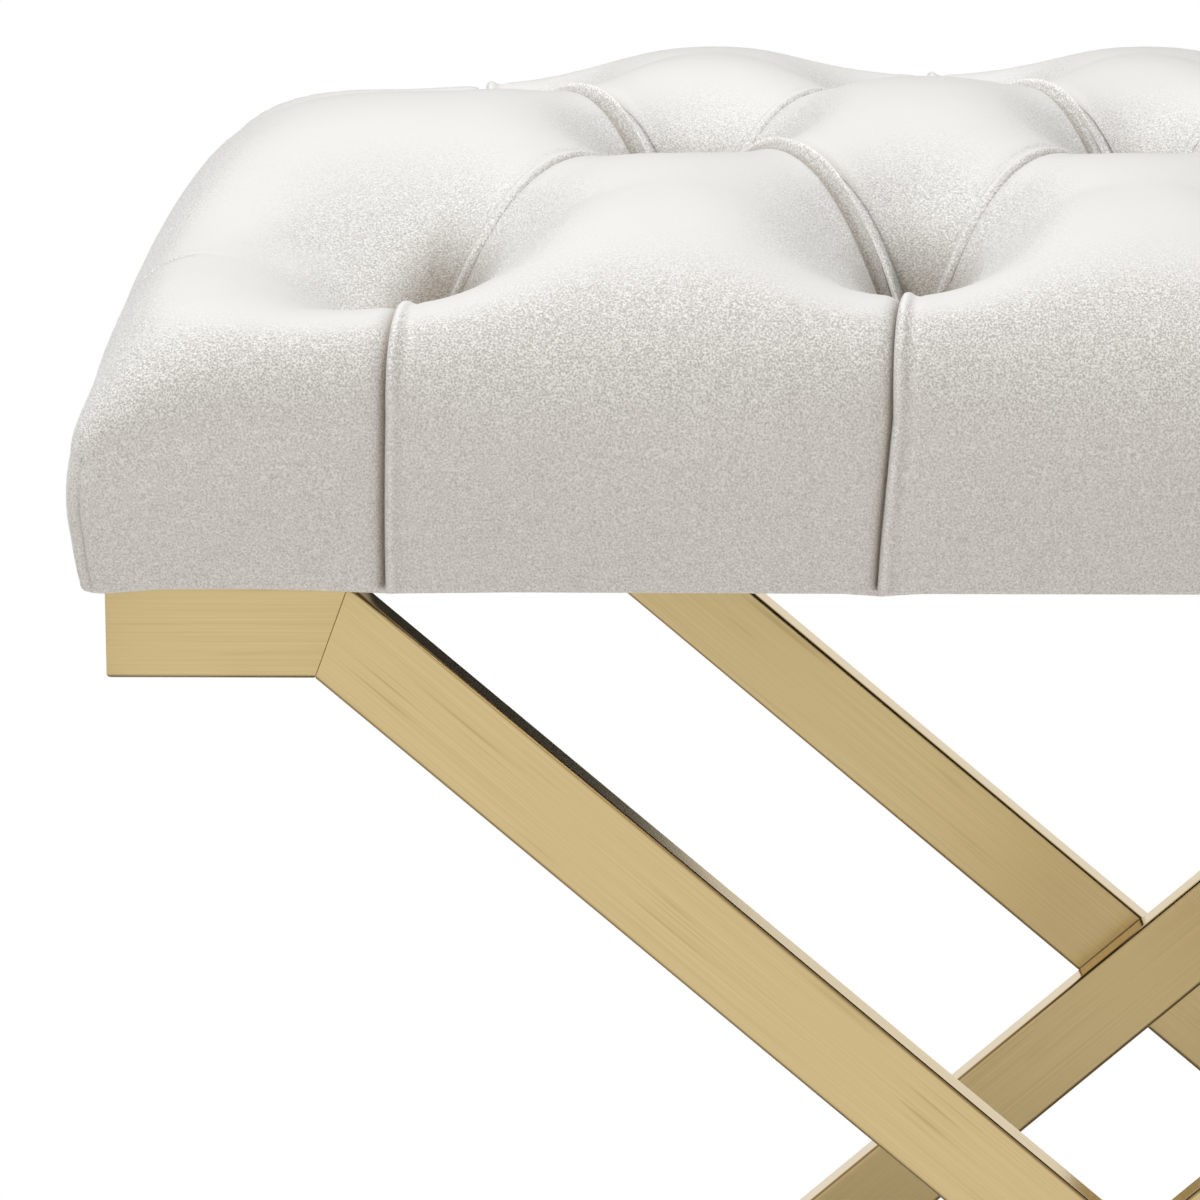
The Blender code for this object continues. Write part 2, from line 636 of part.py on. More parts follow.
def mounting(name, x, y):
    """One fixing of the seat: tab welded to the rail, washer, bolt, and T-nut in the deck."""
    side = math.copysign(1.0, x)
    inner = side * (RAIL_INNER_X - SEAT_GAP - TAB_LENGTH)
    outer = side * (RAIL_INNER_X - SEAT_GAP)
    tab = box(
        f"{name}_mounting_tab",
        (min(inner, outer), y - TAB_WIDTH / 2, TAB_FLOOR_Z),
        (max(inner, outer), y + TAB_WIDTH / 2, TAB_TOP_Z),
        "brushed_brass",
        TAB_CORNER_RADIUS,
    )
    bore = BOLT_RADIUS + HOLE_CLEARANCE
    cut(tab, drill(f"{name}_tab_hole", bore, TAB_FLOOR_Z - bore, TAB_TOP_Z + bore, (x, y), CUTTERS))
    washer_top = TAB_FLOOR_Z - SEAT_GAP
    washer_floor = washer_top - WASHER_THICKNESS
    ring = [
        (WASHER_RADIUS, washer_top),
        (WASHER_RADIUS, washer_floor),
        (bore, washer_floor),
        (bore, washer_top),
    ]
    turned(f"{name}_washer", ring, (x, y, 0.0), "steel", ROUND_SIDES, closed=True)
    head_top = washer_floor - SEAT_GAP
    head_floor = head_top - BOLT_HEAD_HEIGHT
    shank_top = DECK_TOP_Z - SEAT_GAP
    shank = [
        (0.0, shank_top),
        (BOLT_RADIUS, shank_top),
        (BOLT_RADIUS, head_top),
        (BOLT_HEAD_RADIUS, head_top),
        (BOLT_HEAD_RADIUS, head_top - BOLT_HEAD_HEIGHT / 2),
        (BOLT_HEAD_FLAT_RADIUS, head_floor),
        (0.0, head_floor),
    ]
    bolt = turned(f"{name}_bolt", shank, (x, y, 0.0), "steel")
    socket = drill(
        f"{name}_bolt_socket",
        BOLT_SOCKET_RADIUS,
        head_floor - BOLT_SOCKET_DEPTH,
        head_floor + BOLT_SOCKET_DEPTH,
        (x, y),
        CUTTERS,
        SOCKET_SIDES,
    )
    cut(bolt, socket)
    flange_floor = DECK_TOP_Z - T_NUT_FLANGE_THICKNESS
    barrel_floor = flange_floor - T_NUT_BARREL_LENGTH
    nut = [
        (T_NUT_FLANGE_RADIUS, DECK_TOP_Z),
        (T_NUT_FLANGE_RADIUS, flange_floor),
        (T_NUT_BARREL_RADIUS, flange_floor),
        (T_NUT_BARREL_RADIUS, barrel_floor),
        (bore, barrel_floor),
        (bore, DECK_TOP_Z),
    ]
    turned(f"{name}_t_nut", nut, (x, y, 0.0), "steel", ROUND_SIDES, closed=True)


outer_loop = frame_loop("outer", -1, 0.0)
inner_loop = frame_loop("inner", 1, LOOP_OFFSET)
glides("outer", 1, 0.0, outer_loop["floor_rail"])
glides("inner", -1, LOOP_OFFSET, inner_loop["floor_rail"])
velvet_cover()
foam_block()
seat_deck()
dust_cover()
tuft_ties()
for fixing in bolt_places():
    mounting(*fixing)
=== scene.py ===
# %% [markdown]
# # A deep-tufted velvet bench on a crossed brass frame
#
# This notebook dresses a bench whose construction is already settled: the tubes, the deck, the bolts and
# the plain cushion come in as a fixed frame, in metres, with +Z up and the floor at zero. What is left is
# what the eye and the hand notice: velvet pulled down into diamonds, folds with a soft lip, and brass with
# a brushed face. Every new piece is a surface worked out with numpy, so each one can be read as a formula.

# %% Load the frame
import math

import bmesh
import bpy
import numpy as np
from mathutils import Matrix, Vector


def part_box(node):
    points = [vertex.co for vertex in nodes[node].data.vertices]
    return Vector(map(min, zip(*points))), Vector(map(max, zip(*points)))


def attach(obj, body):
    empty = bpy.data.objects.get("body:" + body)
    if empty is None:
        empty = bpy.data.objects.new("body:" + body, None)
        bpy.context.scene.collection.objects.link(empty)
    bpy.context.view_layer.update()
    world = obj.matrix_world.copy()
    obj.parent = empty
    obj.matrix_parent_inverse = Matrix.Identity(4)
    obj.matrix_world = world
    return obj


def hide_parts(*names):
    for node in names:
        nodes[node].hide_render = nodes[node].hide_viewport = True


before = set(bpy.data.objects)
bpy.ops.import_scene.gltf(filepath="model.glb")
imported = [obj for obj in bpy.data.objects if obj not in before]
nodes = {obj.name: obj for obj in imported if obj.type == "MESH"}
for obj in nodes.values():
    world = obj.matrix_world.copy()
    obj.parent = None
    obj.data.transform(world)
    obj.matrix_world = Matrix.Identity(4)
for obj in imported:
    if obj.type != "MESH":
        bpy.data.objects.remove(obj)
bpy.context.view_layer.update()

# %% [markdown]
# ## The camera
#
# The photograph is a close crop taken with a long lens, a little above the seat and a little from the
# right. A long lens could be imitated by moving the camera in close, but then the far bars would shrink too
# fast, so the real distance and focal length are used. The picture is square, and its width matches the
# sensor's width.

# %% Camera
CAMERA_PLACE = Vector((-0.0086, -2.4742, 0.8879))
CAMERA_PITCH = math.radians(12.172)  # down from the horizon
CAMERA_YAW = math.radians(-3.382)  # to the left of straight ahead
CAMERA_ROLL = math.radians(-0.582)
LENS_MM = 267.0
SENSOR_MM = 36.0
CLIP_END = 100.0


def add_object(name, data):
    """A new object with this data, linked to the scene."""
    made = bpy.data.objects.new(name, data)
    bpy.context.scene.collection.objects.link(made)
    return made


def make_camera():
    """A camera turned by yaw about +Z, then by pitch, then by roll about its own line of sight."""
    ahead = Vector((math.sin(CAMERA_YAW), math.cos(CAMERA_YAW), 0.0)) * math.cos(CAMERA_PITCH)
    ahead.z = -math.sin(CAMERA_PITCH)
    level = Vector((math.cos(CAMERA_YAW), -math.sin(CAMERA_YAW), 0.0))
    upright = level.cross(ahead)
    right = level * math.cos(CAMERA_ROLL) + upright * math.sin(CAMERA_ROLL)
    up = upright * math.cos(CAMERA_ROLL) - level * math.sin(CAMERA_ROLL)
    lens = bpy.data.cameras.new("camera")
    lens.lens = LENS_MM
    lens.sensor_width = SENSOR_MM
    lens.clip_end = CLIP_END
    camera = add_object("camera", lens)
    turn = Matrix((right, up, -ahead)).transposed().to_4x4()
    camera.matrix_world = Matrix.Translation(CAMERA_PLACE) @ turn
    bpy.context.scene.camera = camera


make_camera()
print("camera", LENS_MM, "mm at", [round(v, 3) for v in CAMERA_PLACE])

# %% [markdown]
# ## Small tools for surfaces
#
# A surface is a grid of points: two parameters go in as whole arrays, and x, y and z come out. Neighbouring
# points make a quad. A loop over vertices would give the same mesh, but arrays are shorter to read and much
# faster. Panels that share an edge compute the same points there, and a weld joins them.

# %% Mesh tools
MM_PER_METRE = 1000
WELD = 0.00002


def pairs(first, second):
    """Every pair of values from two lists, as two flat arrays, with the second running faster."""
    return (values.ravel() for values in np.meshgrid(first, second, indexing="ij"))


def grid_quads(rows, columns):
    """Index quads between neighbouring points of a grid stored row by row."""
    corner = (np.arange(rows - 1)[:, None] * columns + np.arange(columns - 1)).ravel()
    return np.stack([corner, corner + 1, corner + columns + 1, corner + columns], axis=1)


def mesh_object(name, points, faces, material=None):
    """An object at the origin with these points and faces."""
    mesh = bpy.data.meshes.new(name)
    mesh.from_pydata(np.asarray(points, float).tolist(), [], faces)
    if material:
        mesh.materials.append(material)
    return add_object(name, mesh)


def new_piece(name, points, faces, material):
    """A mesh object that rides on the bench, with a named slot for its finish."""
    piece = mesh_object(name, points, faces, material)
    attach(piece, "root")
    return piece


def add_values(mesh, values):
    """Stores an array per point under each name."""
    for key, array in values.items():
        mesh.attributes.new(key, "FLOAT", "POINT").data.foreach_set("value", array)


def tidy_surface(piece, close_holes=False, smooth=True):
    """Welds shared points, drops loose ones, closes an open rim if asked, and turns every face outwards."""
    bm = bmesh.new()
    bm.from_mesh(piece.data)
    bmesh.ops.remove_doubles(bm, verts=bm.verts[:], dist=WELD)
    loose = [v for v in bm.verts if not v.link_faces]
    bmesh.ops.delete(bm, geom=loose, context="VERTS")
    if close_holes:
        rim = [e for e in bm.edges if e.is_boundary]
        bmesh.ops.contextual_create(bm, geom=rim)
    bmesh.ops.recalc_face_normals(bm, faces=bm.faces[:])
    for face in bm.faces:
        face.smooth = smooth
    open_edges = sum(1 for e in bm.edges if not e.is_manifold)
    bm.to_mesh(piece.data)
    bm.free()
    print(piece.name, len(piece.data.polygons), "faces, edges that aren't closed:", open_edges)


print(f"points closer than {WELD * MM_PER_METRE:.2f} mm are welded")

# %% [markdown]
# ## Node helpers
#
# A material is a small graph. Each helper adds one node and hands back its result, so that a graph can be
# written as a sum is written. Linking every socket by hand would do the same in many more lines.

# %% Node tools
WHITE = (1, 1, 1, 1)


def feed(tree, node, inputs):
    """Gives each named or numbered input of a node a value, or links it to another node's output."""
    for key, value in inputs.items():
        if isinstance(value, bpy.types.NodeSocket):
            tree.links.new(value, node.inputs[key])
        else:
            node.inputs[key].default_value = value


def add_node(tree, kind, inputs=None, **settings):
    """A node of this kind with its settings, fed with its inputs."""
    node = tree.nodes.new(kind)
    for key, value in settings.items():
        setattr(node, key, value)
    feed(tree, node, inputs or {})
    return node


def calc(tree, operation, *values, clamp=False):
    """The result of one sum on numbers and sockets."""
    inputs = dict(enumerate(values))
    return add_node(tree, "ShaderNodeMath", inputs, operation=operation, use_clamp=clamp).outputs[0]


def remap(tree, value, low, high, to_low=0.0, to_high=1.0, curve="LINEAR"):
    """A value carried over from one range to another, straight or along a smooth step."""
    inputs = dict(enumerate((value, low, high, to_low, to_high)))
    return add_node(tree, "ShaderNodeMapRange", inputs, interpolation_type=curve).outputs[0]


def mix_colors(tree, share, first, second, blend="MIX"):
    """The first colour with a share of the second mixed in, or multiplied by it."""
    inputs = {"Factor": share, "A": first, "B": second}
    return add_node(tree, "ShaderNodeMix", inputs, data_type="RGBA", blend_type=blend).outputs["Result"]


def bumps(tree, height, strength, distance):
    """Normals of a surface that is raised by a height between 0 and 1 times a distance."""
    inputs = {"Strength": strength, "Distance": distance, "Height": height}
    return add_node(tree, "ShaderNodeBump", inputs).outputs["Normal"]


def stored(tree, name):
    """The value that each point of a mesh stores under this name."""
    return add_node(tree, "ShaderNodeAttribute", attribute_name=name).outputs["Fac"]


def own_place(tree):
    """The part's own coordinates, in metres."""
    return add_node(tree, "ShaderNodeTexCoord").outputs["Object"]


def new_material(name, inputs=None):
    """A material whose Principled shader is fed with plain values."""
    material = bpy.data.materials.new(name)
    material.use_nodes = True
    tree = material.node_tree
    shader = tree.nodes["Principled BSDF"]
    feed(tree, shader, inputs or {})
    return material, tree, shader


# %% [markdown]
# An effect that several finishes share becomes a node group with named sockets. Both groups here take
# coordinates, a pale and a dark colour and a few numbers, and give a mask and the colours mixed by it.

# %% Speckle


def new_group(name, numbers):
    """An empty node group with these numbers beside its coordinates and colours.

    Returns its tree and its inputs.
    """
    tree = bpy.data.node_groups.new(name, "ShaderNodeTree")
    inputs = {"Vector": "NodeSocketVector", "Pale": "NodeSocketColor", "Dark": "NodeSocketColor"}
    for socket, kind in inputs.items():
        tree.interface.new_socket(socket, in_out="INPUT", socket_type=kind)
    for socket, value in numbers.items():
        made = tree.interface.new_socket(socket, in_out="INPUT", socket_type="NodeSocketFloat")
        made.default_value = value
    for socket, kind in {"Color": "NodeSocketColor", "Mask": "NodeSocketFloat"}.items():
        tree.interface.new_socket(socket, in_out="OUTPUT", socket_type=kind)
    return tree, tree.nodes.new("NodeGroupInput").outputs


def close_group(tree, given, mask):
    """Ends a group with its mask, and with its dark and pale colours mixed by that mask."""
    color = mix_colors(tree, mask, given["Dark"], given["Pale"])
    add_node(tree, "NodeGroupOutput", {"Color": color, "Mask": mask})
    return tree


def add_group(tree, group, vector, **values):
    """Places a node group and feeds its coordinates and other inputs. Underscores stand for spaces."""
    inputs = {key.replace("_", " "): value for key, value in values.items()}
    return add_node(tree, "ShaderNodeGroup", {"Vector": vector, **inputs}, node_tree=group)


def speckle_group():
    """Two colours mixed by fine and coarse noise: the unevenness of cloth, foam and nylon.

    The mask is a half, plus fine noise times Fine, plus coarse noise times Coarse, both centred on zero.
    """
    numbers = {"Fine scale": 900.0, "Coarse scale": 30.0, "Fine": 1.0, "Coarse": 0.5}
    tree, given = new_group("speckle", numbers)
    parts = []
    for size in ("Fine", "Coarse"):
        inputs = {"Vector": given["Vector"], "Scale": given[f"{size} scale"], "Detail": 3.0, "Roughness": 0.6}
        noise = add_node(tree, "ShaderNodeTexNoise", inputs).outputs["Fac"]
        parts.append(calc(tree, "MULTIPLY", calc(tree, "SUBTRACT", noise, 0.5), given[size]))
    return close_group(tree, given, calc(tree, "ADD", calc(tree, "ADD", *parts), 0.5, clamp=True))


SPECKLE = speckle_group()
print("node group:", SPECKLE.name)

# %% [markdown]
# ## Velvet
#
# Velvet is a cloth with a standing pile. Its fibres catch light at a grazing angle, which is what the
# shader's sheen stands for, and up close the pile is a fine grain with softly brushed patches. An image of
# cloth would repeat and stretch in the folds. Noise on object coordinates does neither.

# %% Velvet
# Painted shade in the dimples and grooves and a painted highlight on the lips: the name of a stored value,
# the range over which its colour grows, and that colour.
PAINTED_SHADE_AND_LIGHT = (
    ("dimple", 0.26, 0.58, (0.45, 0.41, 0.36, 1)),
    ("groove", 0.05, 0.95, (0.46, 0.42, 0.37, 1)),
    ("lip", 0.15, 0.9, (1.2, 1.2, 1.2, 1)),
)
# painted shade in the grain: how strongly its dark specks show on flat, steep and upright faces
FLAT_GRAIN, STEEP_GRAIN, UPRIGHT_GRAIN = 0.05, 4.6, 2.5


def grain_shade_by_slope(tree):
    """How much of the grain shows, from the height part of the surface's direction.

    Partly painted shade: seen from above, where light falls full on the pile, the grain hardly shows. Over a
    shoulder, where light from above grazes the fibres and they shade each other, it shows fully, and on an
    upright face about half as much. The same amount sets how deep the grain's bumps are.
    """
    normal = add_node(tree, "ShaderNodeNewGeometry").outputs["Normal"]
    up = add_node(tree, "ShaderNodeSeparateXYZ", {0: normal}).outputs["Z"]
    opened = remap(tree, up, 1.0, 0.72, FLAT_GRAIN, STEEP_GRAIN, "SMOOTHSTEP")
    closed = remap(tree, up, 0.45, 0.05, 1.0, UPRIGHT_GRAIN / STEEP_GRAIN)
    return calc(tree, "MULTIPLY", opened, closed)


def velvet_finish():
    """Ivory pile: speckled colour and bumps, painted shade in dimples and grooves, painted light on lips."""
    material, tree, shader = new_material("velvet", {
        "Roughness": 0.9, "Specular IOR Level": 0.2,
        "Sheen Weight": 0.5, "Sheen Roughness": 0.4, "Sheen Tint": WHITE,
    })
    pile = add_group(
        tree, SPECKLE, own_place(tree), Pale=(0.95, 0.92, 0.87, 1), Dark=(0.54, 0.50, 0.46, 1),
        Fine_scale=1900.0, Coarse_scale=24.0, Fine=grain_shade_by_slope(tree), Coarse=0.12,
    )
    color = pile.outputs["Color"]
    # each stored value paints shade or light into the velvet's colour
    for name, low, high, painted_color in PAINTED_SHADE_AND_LIGHT:
        depth = remap(tree, stored(tree, name), low, high, curve="SMOOTHSTEP")
        shade = mix_colors(tree, depth, WHITE, painted_color)
        color = mix_colors(tree, 1.0, color, shade, "MULTIPLY")
    feed(tree, shader, {"Base Color": color, "Normal": bumps(tree, pile.outputs["Mask"], 1.0, 0.0001)})
    return material


VELVET = velvet_finish()
print("finish:", VELVET.name)

# %% [markdown]
# ## The seat's form
#
# Eleven ties pull the velvet down in staggered rows, four, three and four. Between neighbouring ties the
# spare cloth is laid into a fold, so the folds draw a lattice of diamonds. The form could be sculpted, but
# a lattice has a natural pair of coordinates: one counts folds of one slant, the other folds of the other
# slant. Every tie sits at a pair of whole numbers, and the sine of each coordinate vanishes on a fold.
# Beyond the outer ties the cloth rolls over a shoulder and drops as an upright border to a hem.

# %% Sizes of the seat
TUFT_HALF_PITCH = 0.0665  # half the step along a row
TUFT_ROW_PITCH = 0.112
TUFT_COLUMN = 3  # the outermost tufts, in half pitches from the middle
TUFT_DRIFT = 0.0053  # the ties draw the cloth this much towards the middle
DRIFT_COLUMNS = 0.67
TUFT_HEIGHT = 0.036
CROWN_HEIGHT = 0.1032
DOME_RISE_X = 0.0038  # the top rises a little, then falls towards the ends
DOME_DROP_X = 0.0076
DOME_DROP_Y = 0.0090
FRONT_BORDER = 0.046  # the upright part of the front and the rear
END_BORDER = 0.0347
BULGE_SHARE = 0.65  # the border is fullest this far up
HEM_DRAW = 0.0047
CORNER_ROUNDING = 0.10
CORNER_FLARE = 0.0100  # the ends are drawn in by the ties, stand out beyond them, and turn in at the seams
CORNER_TURN = 1.05
FLARE_EDGE, FLARE_OUT, FLARE_IN = 8, 6, 14  # powers of the edge along the seat, and twice across it
FRONT_ROLL = 1.81, 0.393  # squareness and slope of the shoulders
REAR_ROLL = 1.80, 0.230
END_ROLL = 3.27, 0.487
S_FOLD_RISE = 0.7215
T_FOLD_RISE = 0.6864
S_FOLD_CLIMB = 0.514  # folds of one slant climb out of a tuft faster than those of the other
T_FOLD_CLIMB = 0.783
S_FOLD_VALLEY = 2.19
T_FOLD_VALLEY = 1.57
MARGIN_POWER = 2.65
MARGIN_ONSET = 2  # that power holds from half of the margin on
HOLLOW_POWER = 1.517  # above 1 the panels stay full and the hollows keep close to the tufts
FRONT_VALLEY_FADE = 1.63
END_VALLEY_FADE = 1.75
CORNER_VALLEY_FADE = 1.69
CORNER_ONSET = 3  # the corners have their own fade from a third of the margin on
END_DIMPLE = 0.2  # the tufts at the ends lie in more shade
DIMPLE_FADE = 3.0  # how quickly the shade of a dimple ends in front of its tuft

seat_low, seat_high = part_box("velvet_cover")
HEM_Z = seat_low.z
REACH_X = seat_high.x - TUFT_COLUMN * TUFT_HALF_PITCH  # from the outermost tuft to the seat's edge
REACH_Y = seat_high.y - TUFT_ROW_PITCH
FOLD_LENGTH = math.hypot(TUFT_HALF_PITCH, TUFT_ROW_PITCH)
FOLD_SPACING = 2 * TUFT_HALF_PITCH * TUFT_ROW_PITCH / FOLD_LENGTH
print("reach beyond the tufts:", round(REACH_X, 4), round(REACH_Y, 4))

# %% Hem
HEM_ROLL = 0.0020
HEM_FALL_SHARE = 0.35  # this share of the border hangs a little below the frame's top, outside the bars
HEM_FALL_END = 0.0078  # this far in it is level with the frame again
HEM_CLEAR = 0.0016  # the falling hem moves out at the corners, clear of the pads
# How far the hem falls, in millimetres, at these columns from the middle
HEM_WAVE = (
    (0.0, 0.9, 1.05, 1.2, 2.5, 3.0, 3.3, 3.6, 3.9, 4.1),
    (1.9, 1.9, 2.6, 1.9, 1.7, 2.1, 1.3, 1.0, 1.2, 2.3),
)
# How far the border's folds lean outwards, in millimetres, at these columns
FOLD_LEAN = (-3, -1, 1, 3), (-1.0, -4.5, 4.5, 1.0)
TURN_IN = 0.034  # the cloth is turned in under the seat by this much
TURN_IN_THICKNESS = 0.0022
TURN_IN_STEPS = 8
print("the hem falls by", max(HEM_WAVE[1]), "mm at most")

# %% Height of the seat


def fullness(column, row, outer):
    """0 at a tuft, up to a fold's rise along that fold and 1 in the middle of a diamond.

    s and t are the sines of the two lattice coordinates, raised to powers. They are combined as
    1 - (1 - rise s)(1 - rise t), each with its own rise, and scaled to reach 1. The power of each is low near
    a tuft, so that the cloth drops steeply there, and grows along the fold, so that the fold lies in a smooth
    valley. In the margin, where outer is 1, both powers are the same.
    """
    s = np.abs(np.sin(np.pi * (column + row) / 2))
    t = np.abs(np.sin(np.pi * (column - row) / 2))
    power_s = T_FOLD_CLIMB + (S_FOLD_VALLEY - T_FOLD_CLIMB) * t
    power_t = S_FOLD_CLIMB + (T_FOLD_VALLEY - S_FOLD_CLIMB) * np.sqrt(s)
    s = s ** (power_s + (MARGIN_POWER - power_s) * outer)
    t = t ** (power_t + (MARGIN_POWER - power_t) * outer)
    return (1 - (1 - T_FOLD_RISE * s) * (1 - S_FOLD_RISE * t)) / (1 - (1 - T_FOLD_RISE) * (1 - S_FOLD_RISE))


def roll_off(edge, squareness, slope):
    """1 at the tufts and 0 at the seat's edge: 1 less a power of edge, raised to another power."""
    return np.clip(1 - np.abs(edge) ** squareness, 0, 1) ** slope


def border_draw(share):
    """How far the border is drawn in, as the square of the distance from its fullest line."""
    return HEM_DRAW * ((share - BULGE_SHARE) / BULGE_SHARE) ** 2


def seat_base(panel, inset):
    """x, y, z of a panel's points before the folds' lips, and a direction away from the seat's middle.

    In the margin beyond the tufts, edge runs from 0 to 1. The plan is the tuft's place plus reach times edge,
    eased at the corners. The height is a low dome that rolls off to the border, less the pull of the tufts,
    which widens and fades towards the edge. On the border the height is a share of the border's own height.
    Low on the border the folds lean, the hem falls by its wave, and at the corners it moves out. The panel
    keeps how deep in a dimple each point lies. An inset moves the sides in and the top down, and has no hem.
    """
    column, row, ex, ey, draw = (panel[key] for key in ("column", "row", "edge_x", "edge_y", "draw"))
    inner = (1 - np.abs(ex)) * (1 - np.abs(ey))
    reach_x = REACH_X - inset - draw
    reach_y = REACH_Y - inset - draw
    drift = TUFT_DRIFT * np.tanh(column / DRIFT_COLUMNS) * inner
    flare = CORNER_FLARE * np.sign(ex) * ex**FLARE_EDGE * (ey**FLARE_OUT - CORNER_TURN * ey**FLARE_IN)
    x = column * TUFT_HALF_PITCH - drift + flare + reach_x * ex * np.sqrt(1 - CORNER_ROUNDING * ey**2 / 2)
    y = row * TUFT_ROW_PITCH + reach_y * ey * np.sqrt(1 - CORNER_ROUNDING * ex**2 / 2)
    along = (column / TUFT_COLUMN) ** 2
    dome = CROWN_HEIGHT - DOME_DROP_Y * row**2 + DOME_RISE_X * along - DOME_DROP_X * along**2
    roll = roll_off(ex, *END_ROLL) * np.where(ey > 0, roll_off(ey, *REAR_ROLL), roll_off(ey, *FRONT_ROLL))
    border = END_BORDER + (FRONT_BORDER - END_BORDER) * (1 - ex**2)
    outer = np.clip(MARGIN_ONSET * np.maximum(np.abs(ex), np.abs(ey)), 0, 1)
    soft = np.clip(CORNER_ONSET * np.abs(ex), 0, 1)
    fade_y = (1 - np.abs(ey)) ** FRONT_VALLEY_FADE * (1 - soft) + (1 - ey**2) ** CORNER_VALLEY_FADE * soft
    fade = (1 - np.abs(ex)) ** END_VALLEY_FADE * fade_y
    hollow = np.clip(1 - fullness(column, row, outer), 0, 1) ** HOLLOW_POWER
    pull = (dome - TUFT_HEIGHT) * hollow * fade
    # this darkens the velvet as painted shade, more at the end tufts, and also dents the foam
    shade = pull / (CROWN_HEIGHT - TUFT_HEIGHT) * (1 + END_DIMPLE * along)
    panel["dimple"] = np.clip(shade, 0, 1) * inner**DIMPLE_FADE
    top = border + (dome - border) * roll - pull - inset
    on_border = ~np.isnan(panel["share"])
    share = np.nan_to_num(panel["share"], nan=1.0)
    x = x + np.interp(column, *FOLD_LEAN) / MM_PER_METRE * (1 - share) * (1 - ex**2) * (draw < HEM_FALL_END)
    low = np.clip(1 - share / HEM_FALL_SHARE, 0, 1)
    fall = np.interp(np.abs(x) / TUFT_HALF_PITCH, *HEM_WAVE) / MM_PER_METRE * low**2
    tucked = np.clip((HEM_FALL_END - draw) / (HEM_FALL_END - HEM_DRAW - HEM_ROLL), 0, 1)
    clear = HEM_CLEAR * (ex * ey) ** 2 * tucked * on_border * low * (inset == 0)
    x = x + clear * np.sign(ex)
    y = y + clear * np.sign(ey)
    z = HEM_Z + np.where(on_border, panel["share"] * border - fall * tucked * (inset == 0), top)
    outward = np.stack([ex, ey, np.where(on_border, 0.0, roll)], axis=1)
    return np.stack([x, y, z], axis=1), outward


print("fullness halfway along a fold:", round(float(fullness(0.5, 0.5, 0.0)), 3))

# %% [markdown]
# ## Panels between the folds
#
# The cover is cut up along its folds, and each panel gets its own grid whose lines run beside the folds and
# crowd towards them. A single even grid would need a point every half millimetre over the whole seat to
# show a crease. Here a crease costs a few extra lines. There are three kinds of panel: whole diamonds, half
# diamonds that run on over an edge and down the border, and corners.

# %% Lines that crowd towards a fold
FIRST_STEP = 0.00025  # beside a fold
EVEN_STEPS = 16  # these stay short, for the lip
STEP_GROWTH = 1.3
LONGEST_STEP = 0.0042
MARGIN_CROWDING = 0.12


def crowded(width):
    """Fractions of a width from 0 to 1, in short steps beside both ends that grow towards the middle."""
    steps = []
    while sum(steps) < width / 2:
        steps.append(min(FIRST_STEP * STEP_GROWTH ** max(0, len(steps) - EVEN_STEPS), LONGEST_STEP))
    half = np.concatenate([[0.0], np.cumsum(steps)])
    half *= 0.5 / half[-1]
    return np.concatenate([half, 1 - half[-2::-1]])


def margin_angles(steps):
    """Angles of the roll from the tufts to the edge, a little closer together at both ends."""
    even = np.linspace(0.0, 1.0, steps)
    return (even - MARGIN_CROWDING * np.sin(2 * np.pi * even) / np.pi * 2) * np.pi / 2


def border_profile(wall_steps, roll_steps):
    """(draw, share) down the border: a wall, a quarter round at the hem and the turn-in under it.

    The share is a height divided by the border's height.
    """
    roll = HEM_ROLL / FRONT_BORDER
    wall = np.linspace(1.0, roll, wall_steps + 1)
    angle = np.linspace(0.0, np.pi / 2, roll_steps + 1)[1:]
    rolled = border_draw(roll) + HEM_ROLL * (1 - np.cos(angle))
    flat = np.linspace(HEM_FALL_END, TURN_IN, TURN_IN_STEPS)
    draw = np.concatenate([border_draw(wall), rolled, flat, [TURN_IN]])
    end = TURN_IN_THICKNESS / FRONT_BORDER
    share = np.concatenate([wall, roll * (1 - np.sin(angle)), np.zeros(TURN_IN_STEPS), [end]])
    return draw, share


COVER_GRID = crowded(FOLD_SPACING), margin_angles(30), border_profile(14, 5)
print("lines across a panel and in the margin:", *map(len, COVER_GRID[:2]))
print("lines down the border:", len(COVER_GRID[2][0]))

# %% [markdown]
# A panel is a set of flat arrays: where each point lies in the lattice, how far out in the margin, how far
# down the border, and how far it is from each fold beside it. The distances are what the lips are made
# from. Each fold has two sides. On one slant the panel on the left ends in a tight roll with a groove
# behind it, and the other sinks under it. On the other slant the lip is softer. On the border the panel on
# the right laps over the left one, and at each corner two walls meet in a seam.

# %% Panels at the edges
SIDES_OF_FOLDS = 8
UNDER, ROLL, PLAIN, SOFT, TUCK, LAP, END, SEAM = range(SIDES_OF_FOLDS)
END_FOLD_FROM = 0.060  # at the ends the cloth runs smoothly over the top, and folds only lower down
REAR_FOLD_FROM = 0.030
SPREAD_ANGLE = 0.35  # this far round the roll the folds stand as far apart as their tufts


def half_diamond(across):
    """A half diamond from its tuft out to the line of the outer tufts, as fractions p and q of its two folds.

    Points with p + q up to 1 belong to it. Cells on the last diagonal are triangles, with their last corner
    given twice.
    """
    count = len(across)
    p, q = pairs(across, across)
    i, j = pairs(np.arange(count - 1), np.arange(count - 1))
    corner = i * count + j
    quads = np.stack([corner, corner + 1, corner + count + 1, corner + count], axis=1)[i + j <= count - 3]
    halves = np.stack([corner, corner + 1, corner + count, corner + count], axis=1)[i + j == count - 2]
    return p, q, np.concatenate([quads, halves])


def fold(distance, along, kind):
    """What a point knows of a fold beside it: its distance, how far along it is, and which side it is on."""
    return distance, along, np.broadcast_to(kind, distance.shape)


